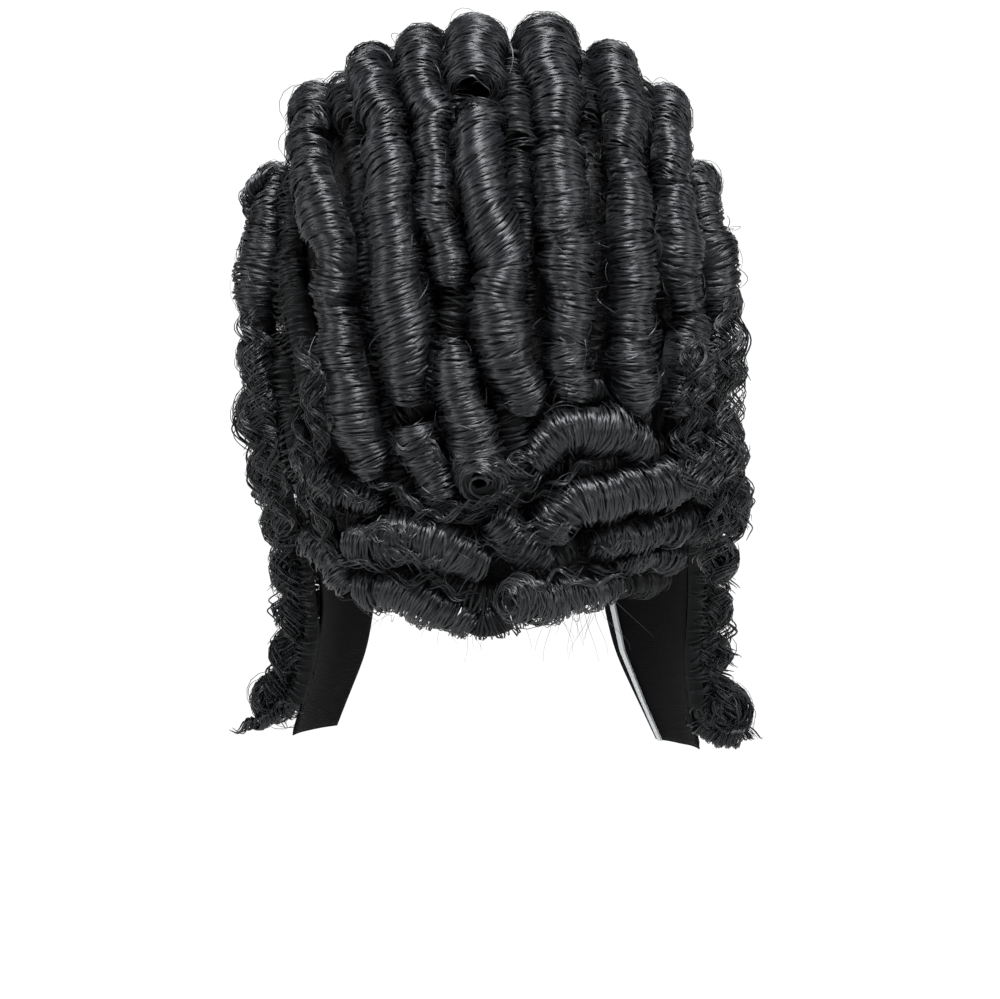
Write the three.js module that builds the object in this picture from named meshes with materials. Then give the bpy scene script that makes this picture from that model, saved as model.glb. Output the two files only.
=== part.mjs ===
// Barrister wig: an open cap with a long nape, two hanging lappets, and rolled curls over all of it.
// Millimetres, +Z up. The wearer faces +Y and their right is +X. The origin is where the crown of
// the head meets the inside of the cap.
import * as THREE from "three";
import { LoftGeometry } from "three/addons/geometries/LoftGeometry.js";

// The head form inside the cap.
const HEAD_WIDTH = 162;
const HEAD_LENGTH = 198;
const CROWN_HEIGHT = 105; // from the widest level of the head up to the crown
const CROWN_SQUARENESS = 3; // 2 is a plain ellipsoid, more is a boxier crown
const BROW_SQUARENESS = 2.2; // the same for a level section
const NAPE_TAPER = 0.2; // share of the width lost at NAPE_DROP below the widest level
const NAPE_DROP = 120;

// The cap's wall and its rim, which runs low at the nape and high over the brow.
const CAP_WALL = 4;
const RIM = [
  // bearing from straight back in degrees, height of the rim
  [0, -208],
  [45, -205],
  [58, -190],
  [70, -112],
  [130, -112],
  [140, -92],
  [160, -62],
  [180, -55],
];
const CROWN_SEAM = 12;
const CAP_RINGS = 10;
const CAP_SIDES = 36;

// The hanging lappets. Both tables are written for the wearer's right, and the left is mirrored.
const LAPPET_TOP = -112.4;
const LAPPET_THICKNESS = 2;
const LAPPET_REAR_BEARING = 74; // where the rear and front edges leave the cap's rim
const LAPPET_FRONT_BEARING = 126;
const LAPPET_RIGHT = [
  // height, rear edge x and y, front edge x and y, outward swell
  [-140, 83, -16, 62, 64, 8],
  [-177, 84, -6, 54, 70, 8],
  [-215, 84, 6, 49, 76, 7],
  [-240, 83, 13, 55, 78, 6],
  [-262, 86, 20, 65, 79, 4],
  [-279, 90, 26, 73, 79, 3],
];
const LAPPET_LEFT = [
  [-140, 81, -16, 60, 62, 8],
  [-177, 75, -6, 53, 70, 8],
  [-215, 69, 6, 49, 74, 6],
  [-240, 73, 14, 53, 76, 5],
  [-260, 79, 21, 61, 78, 4],
  [-273, 83, 24, 66, 78, 3],
];
const LAPPET_COLUMNS = 6;

// The pale tape down the inner face of the right lappet, just inside its front edge.
const TAPE_INSET = 6;
const TAPE_WIDTH = 3;
const TAPE_THICKNESS = 1;

// Curls.
const GAP = 0.5; // between neighbouring pieces
const SIDE_GAP = 0.8; // between a lappet and what lies on it
const CURL_WALL = 3.5; // hair wound round the hollow
const CURL_SIDES = 8;
const CURL_STEP = 27; // longest run between two sections of a curl
const FRONT_STEP = 20; // degrees between two stations over the crown
const SEAT = 0.9; // how far a curl's axis stands off its bed, as a share of its radius
const LEAST_RADIUS = 3; // of a curl that its neighbours press flat
const END_TAPER = 0.85; // radius left at a curl's two ends

// Crown curls, in nine columns from the wearer's left to right. Stations are given as seen from
// straight behind: across, height, radius. A curl with a front starts over the crown, at that many
// degrees past the widest level at the back (90 is straight up). lift is how far a curl stands above
// its usual seat, or below it over the flat of one of the cap's facets.
const CROWN = [
  { name: "crown_curl_2_1", front: 130, stations: [[-73, -8, 11], [-72, -16, 11]] },
  { name: "crown_curl_2_2", stations: [[-74, -22, 10], [-69, -46, 12], [-61, -66, 12], [-60, -89, 11]] },
  {
    name: "crown_curl_2_3",
    stations: [[-60, -93, 11], [-58, -108, 12], [-55, -124, 13], [-51, -140, 13], [-45, -156, 10]],
  },
  { name: "crown_curl_3_1", front: 147, stations: [[-48, 2, 11], [-43, -13, 11]] },
  {
    name: "crown_curl_3_2",
    stations: [[-40, -18, 10], [-39, -35, 12], [-38, -52, 13], [-37, -72, 13], [-35, -92, 13],
      [-32, -110, 13], [-32, -127, 10]],
  },
  { name: "crown_curl_4_1", front: 149, stations: [[-27, 6, 12], [-25, -10, 10]] },
  {
    name: "crown_curl_4_2",
    stations: [[-21, -15, 10], [-20, -35, 11], [-20, -52, 11], [-17, -67, 9], [-13, -82, 9]],
  },
  { name: "crown_curl_5_1", front: 150, lift: 0.3, stations: [[-5, -4, 14]] },
  {
    name: "crown_curl_5_2",
    stations: [[-3, -12, 12], [-4, -27, 13], [-2, -48, 13], [3, -64, 12], [6, -77, 12], [4, -91, 14],
      [6, -105, 14], [11, -118, 12], [15, -130, 9]],
  },
  { name: "crown_curl_6_1", front: 149, stations: [[24, 9, 14], [28, -10, 12], [28, -25, 10]] },
  { name: "crown_curl_6_2", lift: -0.8, stations: [[29, -29, 13], [29, -43, 13], [29, -59, 12]] },
  { name: "crown_curl_6_3", lift: -1, stations: [[31, -63, 12], [32, -84, 12], [32, -103, 11]] },
  { name: "crown_curl_6_4", lift: -2, stations: [[30, -107, 11], [34, -126, 11]] },
  { name: "crown_curl_7_1", front: 147, lift: 0.4, stations: [[51, 2, 12], [55, -13, 12], [54, -36, 10]] },
  { name: "crown_curl_7_2", stations: [[56, -41, 11], [56, -59, 12], [57, -80, 12], [57, -103, 11]] },
  { name: "crown_curl_7_3", stations: [[56, -107, 12], [58, -120, 12], [61, -131, 9]] },
  { name: "crown_curl_8_1", front: 129, stations: [[74, -10, 11], [74, -20, 11], [74, -39, 10]] },
  { name: "crown_curl_8_2", lift: -0.7, stations: [[76, -44, 10], [76, -66, 12], [78, -89, 11]] },
  { name: "crown_curl_8_3", lift: -0.8, stations: [[82, -97, 12], [80, -114, 13], [76, -132, 11]] },
];

// The outermost crown curls lie along the sides, seen from the side: along y, height, radius.
const CROWN_SIDES = [
  {
    name: "crown_curl_1_1",
    side: -1,
    stations: [[70, -50, 9], [47, -45, 10], [24, -42, 10], [2, -40, 10], [-20, -42, 11]],
  },
  {
    name: "crown_curl_1_2",
    side: -1,
    lift: -1,
    stations: [[-34, -53, 11], [-36, -70, 12], [-34, -92, 12]],
  },
  {
    name: "crown_curl_9_1",
    side: 1,
    stations: [[70, -51, 9], [47, -45, 10], [24, -41, 10], [2, -39, 10], [-20, -40, 9]],
  },
  {
    name: "crown_curl_9_2",
    side: 1,
    lift: -0.6,
    stations: [[-34, -50, 10], [-37, -70, 12], [-34, -94, 12]],
  },
];

// Nape curls, lying across the back of the neck. A station with a fourth value stands at that y.
const NAPE = [
  {
    name: "nape_curl_1",
    stations: [[-15, -106, 10], [-11, -124, 11], [-7, -140, 12], [-3, -154, 12], [-2, -162, 11, -124]],
  },
  { name: "nape_curl_2", stations: [[19, -152, 10], [30, -141, 12], [46, -140, 12], [61, -147, 9]] },
  {
    name: "nape_curl_3",
    stations: [[22, -180, 10], [36, -169, 12], [55, -166, 12], [76, -162, 12], [88, -157, 11, -58],
      [100, -151, 11, -49]],
  },
  { name: "nape_curl_4", stations: [[40, -186, 9], [66, -181, 10], [84, -179, 10], [101, -177, 10, -44]] },
  { name: "nape_curl_5", stations: [[51, -194, 8], [62, -192, 8], [75, -193, 8]] },
  { name: "nape_curl_6", stations: [[9, -208, 11, -112], [24, -208, 11], [37, -206, 9], [50, -203, 8]] },
  { name: "nape_curl_7", stations: [[-48, -203, 10], [-30, -206, 11], [-8, -217, 10]] },
  { name: "nape_curl_8", stations: [[-52, -187, 11], [-36, -184, 12], [-19, -185, 12], [-3, -194, 11]] },
  { name: "nape_curl_9", stations: [[-30, -140, 11], [-17, -166, 11]] },
  { name: "nape_curl_10", stations: [[-73, -150, 10], [-59, -163, 10], [-44, -170, 8]] },
  { name: "nape_curl_11", lift: -0.8, stations: [[-70, -184, 9], [-54, -202, 9]] },
  { name: "nape_curl_12", stations: [[2, -176, 10], [21, -192, 10]] },
  {
    name: "side_lock_left",
    stations: [[-96, -106, 5, -47], [-92, -124, 6, -49], [-86, -143, 6, -47], [-78, -168, 5, -42]],
  },
];

// Curls stacked down each side, from the cap to the lowest on the lappet: height, radius, how far
// the rear end stands past the bed's rear edge, how far the front end stops short of its front.
const SIDE_CURLS_RIGHT = [
  [-69, 11, -16, -20],
  [-90, 12, -16, -10],
  [-115, 12, 12, 0],
  [-144, 11, 10, 0],
  [-173, 13, 8, 2],
  [-198, 11, 2, 0],
  [-219, 10, 0, 2],
  [-239, 10, 2, 0],
  [-266, 13, 6, 0],
];
const SIDE_CURLS_LEFT = [
  [-68, 11, -16, -20],
  [-88, 11, -16, -10],
  [-111, 11, 10, 0],
  [-134, 12, 12, 2],
  [-157, 11, 6, 2],
  [-181, 10, 0, 0],
  [-201, 10, 1, 2],
  [-220, 9, 0, 0],
  [-239, 10, 1, 2],
  [-261, 11, 4, 0],
];

const HAIR = { color: 0x141416, roughness: 0.5, metalness: 0 };
const CLOTH = { color: 0x17181c, roughness: 0.85, metalness: 0 };
const NET = { color: 0x101012, roughness: 0.9, metalness: 0 };
const TAPE = { color: 0xb9bdbe, roughness: 0.8, metalness: 0 };

const radians = THREE.MathUtils.degToRad;

// How far from the middle a point lies in a level section, 1 being the form's widest outline.
function levelReach(x, y, grow) {
  const a = Math.abs(x) / (HEAD_WIDTH / 2 + grow);
  const b = Math.abs(y) / (HEAD_LENGTH / 2 + grow);
  return (a ** BROW_SQUARENESS + b ** BROW_SQUARENESS) ** (1 / BROW_SQUARENESS);
}

// The reach of the form's own outline at a height, 0 at the crown.
function outlineReach(z, grow) {
  const rise = z + CROWN_HEIGHT;
  if (rise < 0) {
    return 1 - NAPE_TAPER * (rise / NAPE_DROP) ** 2;
  }
  const share = Math.min(1, rise / (CROWN_HEIGHT + grow));
  return (1 - share ** CROWN_SQUARENESS) ** (1 / CROWN_SQUARENESS);
}

// Below 0 inside the form, above 0 outside it.
function formLevel(p, grow) {
  const reach = levelReach(p.x, p.y, grow);
  const rise = p.z + CROWN_HEIGHT;
  if (rise < 0) {
    return reach / outlineReach(p.z, grow) - 1;
  }
  const share = rise / (CROWN_HEIGHT + grow);
  return (reach ** CROWN_SQUARENESS + share ** CROWN_SQUARENESS) ** (1 / CROWN_SQUARENESS) - 1;
}

function formSlope(p, grow) {
  const slope = new THREE.Vector3();
  for (const axis of ["x", "y", "z"]) {
    const ahead = p.clone();
    const behind = p.clone();
    ahead[axis] += 0.05;
    behind[axis] -= 0.05;
    slope[axis] = (formLevel(ahead, grow) - formLevel(behind, grow)) / 0.1;
  }
  return slope;
}

function outward(p) {
  return formSlope(p, CAP_WALL).normalize();
}

// Distance from the cap's outside, good near the cap.
function capClearance(p) {
  return formLevel(p, CAP_WALL) / formSlope(p, CAP_WALL).length();
}

// A point of the form at a bearing from straight back and a height.
function formPoint(bearing, z, grow) {
  const x = Math.sin(radians(bearing));
  const y = -Math.cos(radians(bearing));
  const run = outlineReach(z, grow) / levelReach(x, y, grow);
  return new THREE.Vector3(x * run, y * run, z);
}

// Moves a point along the form's slope until it stands the given distance off the cap.
function settle(p, distance) {
  for (let pass = 0; pass < 4; pass++) {
    p.addScaledVector(outward(p), distance - capClearance(p));
  }
  return p;
}

// The axis of a curl of the given radius that is seen from behind at x, z.
function seatBehind(x, z, radius, lift) {
  const stand = GAP + lift + radius * SEAT;
  const grow = CAP_WALL + stand;
  const across = Math.abs(x) / (HEAD_WIDTH / 2 + grow);
  const spare = Math.max(0, outlineReach(z, grow) ** BROW_SQUARENESS - across ** BROW_SQUARENESS);
  const y = -(HEAD_LENGTH / 2 + grow) * spare ** (1 / BROW_SQUARENESS);
  return settle(new THREE.Vector3(x, y, z), stand);
}

// The same for a curl that is seen from the side at y, z.
function seatBeside(side, y, z, radius, lift) {
  const stand = GAP + lift + radius * SEAT;
  const grow = CAP_WALL + stand;
  const along = Math.abs(y) / (HEAD_LENGTH / 2 + grow);
  const spare = Math.max(0, outlineReach(z, grow) ** BROW_SQUARENESS - along ** BROW_SQUARENESS);
  const x = side * (HEAD_WIDTH / 2 + grow) * spare ** (1 / BROW_SQUARENESS);
  return settle(new THREE.Vector3(x, y, z), stand);
}

// The same over the crown, at an angle about the widest level.
function seatOver(x, angle, radius, lift) {
  const stand = GAP + lift + radius * SEAT;
  const grow = CAP_WALL + stand;
  const p = new THREE.Vector3(x, 0, -CROWN_HEIGHT);
  let near = 0;
  let far = HEAD_LENGTH;
  for (let pass = 0; pass < 24; pass++) {
    const reach = (near + far) / 2;
    p.y = -reach * Math.cos(radians(angle));
    p.z = reach * Math.sin(radians(angle)) - CROWN_HEIGHT;
    if (formLevel(p, grow) < 0) {
      near = reach;
    } else {
      far = reach;
    }
  }
  return settle(p, stand);
}

// A value of a table whose first column rises or falls, between its rows.
function lookUp(rows, at) {
  const rising = rows[rows.length - 1][0] > rows[0][0];
  let i = 1;
  while (i < rows.length - 1 && (rising ? rows[i][0] < at : rows[i][0] > at)) {
    i += 1;
  }
  const share = THREE.MathUtils.clamp((at - rows[i - 1][0]) / (rows[i][0] - rows[i - 1][0]), 0, 1);
  return rows[i].map((value, k) => THREE.MathUtils.lerp(rows[i - 1][k], value, share));
}

// A point of the right side's bed: the cap's wall above the lappet's top, and the lappet below it.
// across is 0 at the rear edge and 1 at the front edge.
function sideBed(rows, across, z) {
  const bearing = THREE.MathUtils.lerp(LAPPET_REAR_BEARING, LAPPET_FRONT_BEARING, across);
  const onCap = formPoint(bearing, Math.max(z, LAPPET_TOP), CAP_WALL / 2);
  if (z >= LAPPET_TOP) {
    return onCap;
  }
  const [, rearX, rearY, frontX, frontY, swell] = lookUp(rows, z);
  const hanging = new THREE.Vector3(
    THREE.MathUtils.lerp(rearX, frontX, across),
    THREE.MathUtils.lerp(rearY, frontY, across),
    z,
  );
  const outward = new THREE.Vector3(frontY - rearY, rearX - frontX, 0).normalize();
  hanging.addScaledVector(outward, swell * 4 * across * (1 - across));
  const blend = THREE.MathUtils.smoothstep(LAPPET_TOP - z, 0, LAPPET_TOP - rows[0][0]);
  return onCap.setZ(z).lerp(hanging, blend);
}

function sideOutward(rows, across, z) {
  const along = sideBed(rows, across + 0.02, z).sub(sideBed(rows, across - 0.02, z));
  const down = sideBed(rows, across, z - 2).sub(sideBed(rows, across, z + 2));
  return down.cross(along).normalize();
}

// A run of sections along an axis: where each is, how wide, which way is out, the way along, and how
// far it keeps clear of the cap.
function sectionsAlong(points, radii, outs, clear) {
  const curve = new THREE.CatmullRomCurve3(points);
  const sections = [];
  const spans = points.length - 1;
  for (let span = 0; span < spans; span++) {
    const cuts = Math.ceil(points[span].distanceTo(points[span + 1]) / CURL_STEP);
    for (let cut = span ? 1 : 0; cut <= cuts; cut++) {
      const t = (span + cut / cuts) / spans;
      const centre = curve.getPoint(t);
      const along = curve.getTangent(t);
      const out = outs[span].clone().lerp(outs[span + 1], cut / cuts);
      out.addScaledVector(along, -out.dot(along)).normalize();
      const end = (span === 0 && cut === 0) || (span === spans - 1 && cut === cuts);
      const radius = THREE.MathUtils.lerp(radii[span], radii[span + 1], cut / cuts);
      const side = along.clone().cross(out);
      sections.push({ centre, along, out, side, clear, radius: radius * (end ? END_TAPER : 1) });
    }
  }
  return sections;
}

function curlBehind({ name, front, stations, lift = 0 }) {
  const points = [];
  const radii = [];
  const [firstX, firstZ, firstRadius] = stations[0];
  if (front) {
    const first = seatBehind(firstX, firstZ, firstRadius, lift);
    const back = THREE.MathUtils.radToDeg(Math.atan2(first.z + CROWN_HEIGHT, -first.y));
    const steps = Math.ceil((front - back) / FRONT_STEP);
    for (let step = 0; step < steps; step++) {
      const angle = THREE.MathUtils.lerp(front, back, step / steps);
      points.push(seatOver(firstX, angle, firstRadius, lift));
      radii.push(firstRadius);
    }
  }
  for (const [x, z, radius, y] of stations) {
    points.push(y === undefined ? seatBehind(x, z, radius, lift) : new THREE.Vector3(x, y, z));
    radii.push(radius);
  }
  return { name, sections: sectionsAlong(points, radii, points.map(outward), GAP + lift) };
}

function curlBeside({ name, side, stations, lift = 0 }) {
  const points = stations.map(([y, z, radius]) => seatBeside(side, y, z, radius, lift));
  const radii = stations.map(([, , radius]) => radius);
  return { name, sections: sectionsAlong(points, radii, points.map(outward), GAP + lift) };
}

// A point of the right side as it lies on the given side.
function onSide(point, side) {
  return point.setX(point.x * side);
}

function sideCurl(name, [z, radius, overhang, inset], rows, side) {
  const points = [];
  const outs = [];
  const length = sideBed(rows, 0, z).distanceTo(sideBed(rows, 1, z));
  const start = -overhang / length;
  const end = 1 - inset / length;
  for (const share of [0, 0.25, 0.5, 0.75, 1]) {
    const across = THREE.MathUtils.lerp(start, end, share);
    const out = sideOutward(rows, across, z);
    const stand = LAPPET_THICKNESS / 2 + SIDE_GAP + radius * SEAT;
    points.push(onSide(sideBed(rows, across, z).addScaledVector(out, stand), side));
    outs.push(onSide(out, side));
  }
  return { name, sections: sectionsAlong(points, points.map(() => radius), outs, GAP) };
}

// How far a point lies outside a curl: below 0 inside it, with the ends cut off flat.
function curlDistance(p, sections) {
  let nearest = Infinity;
  const reach = new THREE.Vector3();
  const run = new THREE.Vector3();
  for (let i = 1; i < sections.length; i++) {
    run.subVectors(sections[i].centre, sections[i - 1].centre);
    reach.subVectors(p, sections[i - 1].centre);
    const raw = reach.dot(run) / run.lengthSq();
    const share = THREE.MathUtils.clamp(raw, 0, 1);
    const radius = THREE.MathUtils.lerp(sections[i - 1].radius, sections[i].radius, share);
    const beyond = (raw - share) * run.length();
    const aside = reach.addScaledVector(run, -raw).length() - radius;
    const open = (i === 1 && raw < 0) || (i === sections.length - 1 && raw > 1);
    const distance = open ? Math.max(aside, Math.abs(beyond)) : Math.hypot(aside + radius, beyond) - radius;
    nearest = Math.min(nearest, distance);
  }
  return nearest;
}

// The radius left to a curl on one side of one section, pressed by its bed and by its neighbours.
function pressedRadius(section, direction, neighbours) {
  const tilt = direction.dot(section.out);
  const bed = tilt < 0 ? (section.radius * SEAT) / -tilt : Infinity;
  let radius = Math.min(section.radius, bed);
  const p = new THREE.Vector3();
  while (radius > LEAST_RADIUS) {
    p.copy(section.centre).addScaledVector(direction, radius);
    const depth = radius - section.radius + GAP;
    if (capClearance(p) >= section.clear && neighbours.every((other) => curlDistance(p, other) >= depth)) {
      break;
    }
    radius -= 0.2;
  }
  return Math.max(radius, LEAST_RADIUS);
}

function curlGeometry(curl, all) {
  const box = new THREE.Box3().setFromPoints(curl.sections.map((s) => s.centre)).expandByScalar(40);
  const neighbours = all
    .filter((other) => other !== curl && other.sections.some((s) => box.containsPoint(s.centre)))
    .map((other) => other.sections);
  const outer = [];
  const inner = [];
  for (const section of curl.sections) {
    const outerRing = [];
    const innerRing = [];
    for (let k = 0; k < CURL_SIDES; k++) {
      const angle = (k / CURL_SIDES) * 2 * Math.PI;
      const direction = section.out.clone().multiplyScalar(Math.cos(angle));
      direction.addScaledVector(section.side, -Math.sin(angle));
      const radius = pressedRadius(section, direction, neighbours);
      const bore = Math.max(radius - CURL_WALL, radius * 0.3);
      outerRing.push(section.centre.clone().addScaledVector(direction, radius));
      innerRing.push(section.centre.clone().addScaledVector(direction, bore));
    }
    outer.push(outerRing);
    inner.unshift(innerRing);
  }
  return new LoftGeometry([...outer, ...inner, outer[0]].reverse());
}

// The crown is closed by a short seam from side to side.
function capGeometry() {
  const outer = [];
  const inner = [];
  for (let ring = 0; ring <= CAP_RINGS; ring++) {
    const outerRing = [];
    const innerRing = [];
    const down = (ring / CAP_RINGS) ** 2;
    for (let k = 0; k < CAP_SIDES; k++) {
      const bearing = (k / CAP_SIDES) * 360;
      const [, rim] = lookUp(RIM, bearing > 180 ? 360 - bearing : bearing);
      if (ring === 0) {
        const across = (CROWN_SEAM / 2) * Math.sin(radians(bearing));
        outerRing.push(new THREE.Vector3(across, 0, CAP_WALL));
        innerRing.push(new THREE.Vector3(across, 0, 0));
      } else {
        outerRing.push(formPoint(bearing, THREE.MathUtils.lerp(CAP_WALL, rim, down), CAP_WALL));
        innerRing.push(formPoint(bearing, rim * down, 0));
      }
    }
    outer.push(outerRing);
    inner.unshift(innerRing);
  }
  return new LoftGeometry([...outer, ...inner].reverse());
}

function lappetGeometry(rows, side) {
  const rings = [];
  const heights = [LAPPET_TOP, ...rows.map(([z]) => z)];
  for (const z of heights) {
    const outer = [];
    const inner = [];
    for (let k = 0; k <= LAPPET_COLUMNS; k++) {
      const across = k / LAPPET_COLUMNS;
      const outward = sideOutward(rows, across, z).setZ(0).normalize();
      outer.push(sideBed(rows, across, z).addScaledVector(outward, LAPPET_THICKNESS / 2));
      inner.unshift(sideBed(rows, across, z).addScaledVector(outward, -LAPPET_THICKNESS / 2));
    }
    const ring = [...outer, ...inner].map((p) => onSide(p, side));
    rings.push(side > 0 ? ring.reverse() : ring);
  }
  return new LoftGeometry(rings, { capStart: true, capEnd: true });
}

function tapeGeometry(rows) {
  const rings = [];
  for (const [z] of rows) {
    const width = sideBed(rows, 1, z).distanceTo(sideBed(rows, 0, z));
    const across = 1 - (TAPE_INSET + TAPE_WIDTH / 2) / width;
    const outward = sideOutward(rows, across, z).setZ(0).normalize();
    const forward = sideBed(rows, across + 0.01, z).sub(sideBed(rows, across - 0.01, z)).normalize();
    const face = sideBed(rows, across, z).addScaledVector(outward, -LAPPET_THICKNESS / 2 - SIDE_GAP);
    const ring = [];
    for (const [run, depth] of [[-0.5, 0], [-0.5, 1], [0.5, 1], [0.5, 0]]) {
      const corner = face.clone().addScaledVector(forward, run * TAPE_WIDTH);
      ring.push(corner.addScaledVector(outward, -depth * TAPE_THICKNESS));
    }
    rings.push(ring);
  }
  return new LoftGeometry(rings, { capStart: true, capEnd: true });
}

const wig = new THREE.Group();

function addPiece(name, geometry, look) {
  const mesh = new THREE.Mesh(geometry, new THREE.MeshStandardMaterial(look));
  mesh.name = name;
  wig.add(mesh);
}

addPiece("cap", capGeometry(), NET);
addPiece("lappet_backing_right", lappetGeometry(LAPPET_RIGHT, 1), CLOTH);
addPiece("lappet_backing_left", lappetGeometry(LAPPET_LEFT, -1), CLOTH);
addPiece("lappet_edge_tape_right", tapeGeometry(LAPPET_RIGHT), TAPE);

const curls = [
  ...[...CROWN, ...NAPE].map(curlBehind),
  ...CROWN_SIDES.map(curlBeside),
  ...SIDE_CURLS_RIGHT.map((row, i) => sideCurl("side_curl_right_" + (i + 1), row, LAPPET_RIGHT, 1)),
  ...SIDE_CURLS_LEFT.map((row, i) => sideCurl("side_curl_left_" + (i + 1), row, LAPPET_LEFT, -1)),
];
for (const curl of curls) {
  addPiece(curl.name, curlGeometry(curl, curls), HAIR);
}

export default wig;
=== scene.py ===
"""A barrister wig in black fibre: rolled curls over an open cap, with two cloth lappets.

The wearer faces +Y, their right is +X and +Z is up. Tables are in millimetres, and meshes in metres.
"""

import math
from dataclasses import dataclass

import bpy
import numpy as np
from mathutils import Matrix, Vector


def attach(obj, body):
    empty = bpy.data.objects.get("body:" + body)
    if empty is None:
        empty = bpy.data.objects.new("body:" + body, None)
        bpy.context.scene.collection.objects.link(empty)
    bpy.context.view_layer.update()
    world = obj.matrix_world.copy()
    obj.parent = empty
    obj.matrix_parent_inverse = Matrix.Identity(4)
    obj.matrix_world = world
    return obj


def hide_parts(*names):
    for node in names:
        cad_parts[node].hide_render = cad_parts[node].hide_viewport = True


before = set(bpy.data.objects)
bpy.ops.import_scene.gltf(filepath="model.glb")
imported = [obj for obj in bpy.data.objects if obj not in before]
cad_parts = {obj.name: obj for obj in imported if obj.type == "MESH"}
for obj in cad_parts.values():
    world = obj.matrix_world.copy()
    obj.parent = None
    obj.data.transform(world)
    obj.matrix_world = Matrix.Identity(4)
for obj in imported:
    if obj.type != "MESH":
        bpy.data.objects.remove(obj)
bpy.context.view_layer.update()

BACKWARD = np.array([0.0, -1.0, 0.0])
BAKE_MAP = "OFBake"
MM = 0.001

# The seed of all random draws, and the number at which each kind of piece starts its own.
SEED = 17
UNDER_SEED = 200
JOIN_SEED = 300
LOOSE_SEED = 500
CLOTH_SEED = 900

# The head form inside the cap.
HEAD_WIDTH = 162
HEAD_LENGTH = 198
CROWN_HEIGHT = 105
CROWN_SQUARENESS = 3
BROW_SQUARENESS = 2.2
NAPE_TAPER = 0.2
NAPE_DROP = 120
LEAST_OUTLINE = 0.2  # share of the widest level, far below the nape

CAP_WALL = 4
RIM = np.array([
    # bearing from straight back in degrees, height of the rim
    [0, -208],
    [45, -205],
    [58, -190],
    [70, -112],
    [130, -112],
    [140, -92],
    [160, -62],
    [180, -55],
])

# The hanging lappets. Both tables are written for the wearer's right, and the left is mirrored.
LAPPET_TOP = -112.4
LAPPET_REAR_BEARING = 74
LAPPET_FRONT_BEARING = 126
LAPPET_RIGHT = np.array([
    # height, rear edge x and y, front edge x and y, outward swell
    [-140, 83, -16, 62, 64, 8],
    [-177, 84, -6, 54, 70, 8],
    [-215, 84, 6, 49, 76, 7],
    [-240, 83, 13, 55, 78, 6],
    [-262, 86, 20, 65, 79, 4],
    [-279, 90, 26, 73, 79, 3],
])
LAPPET_LEFT = np.array([
    [-140, 81, -16, 60, 62, 8],
    [-177, 75, -6, 53, 70, 8],
    [-215, 69, 6, 49, 74, 6],
    [-240, 73, 14, 53, 76, 5],
    [-260, 79, 21, 61, 78, 4],
    [-273, 83, 24, 66, 78, 3],
])

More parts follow.
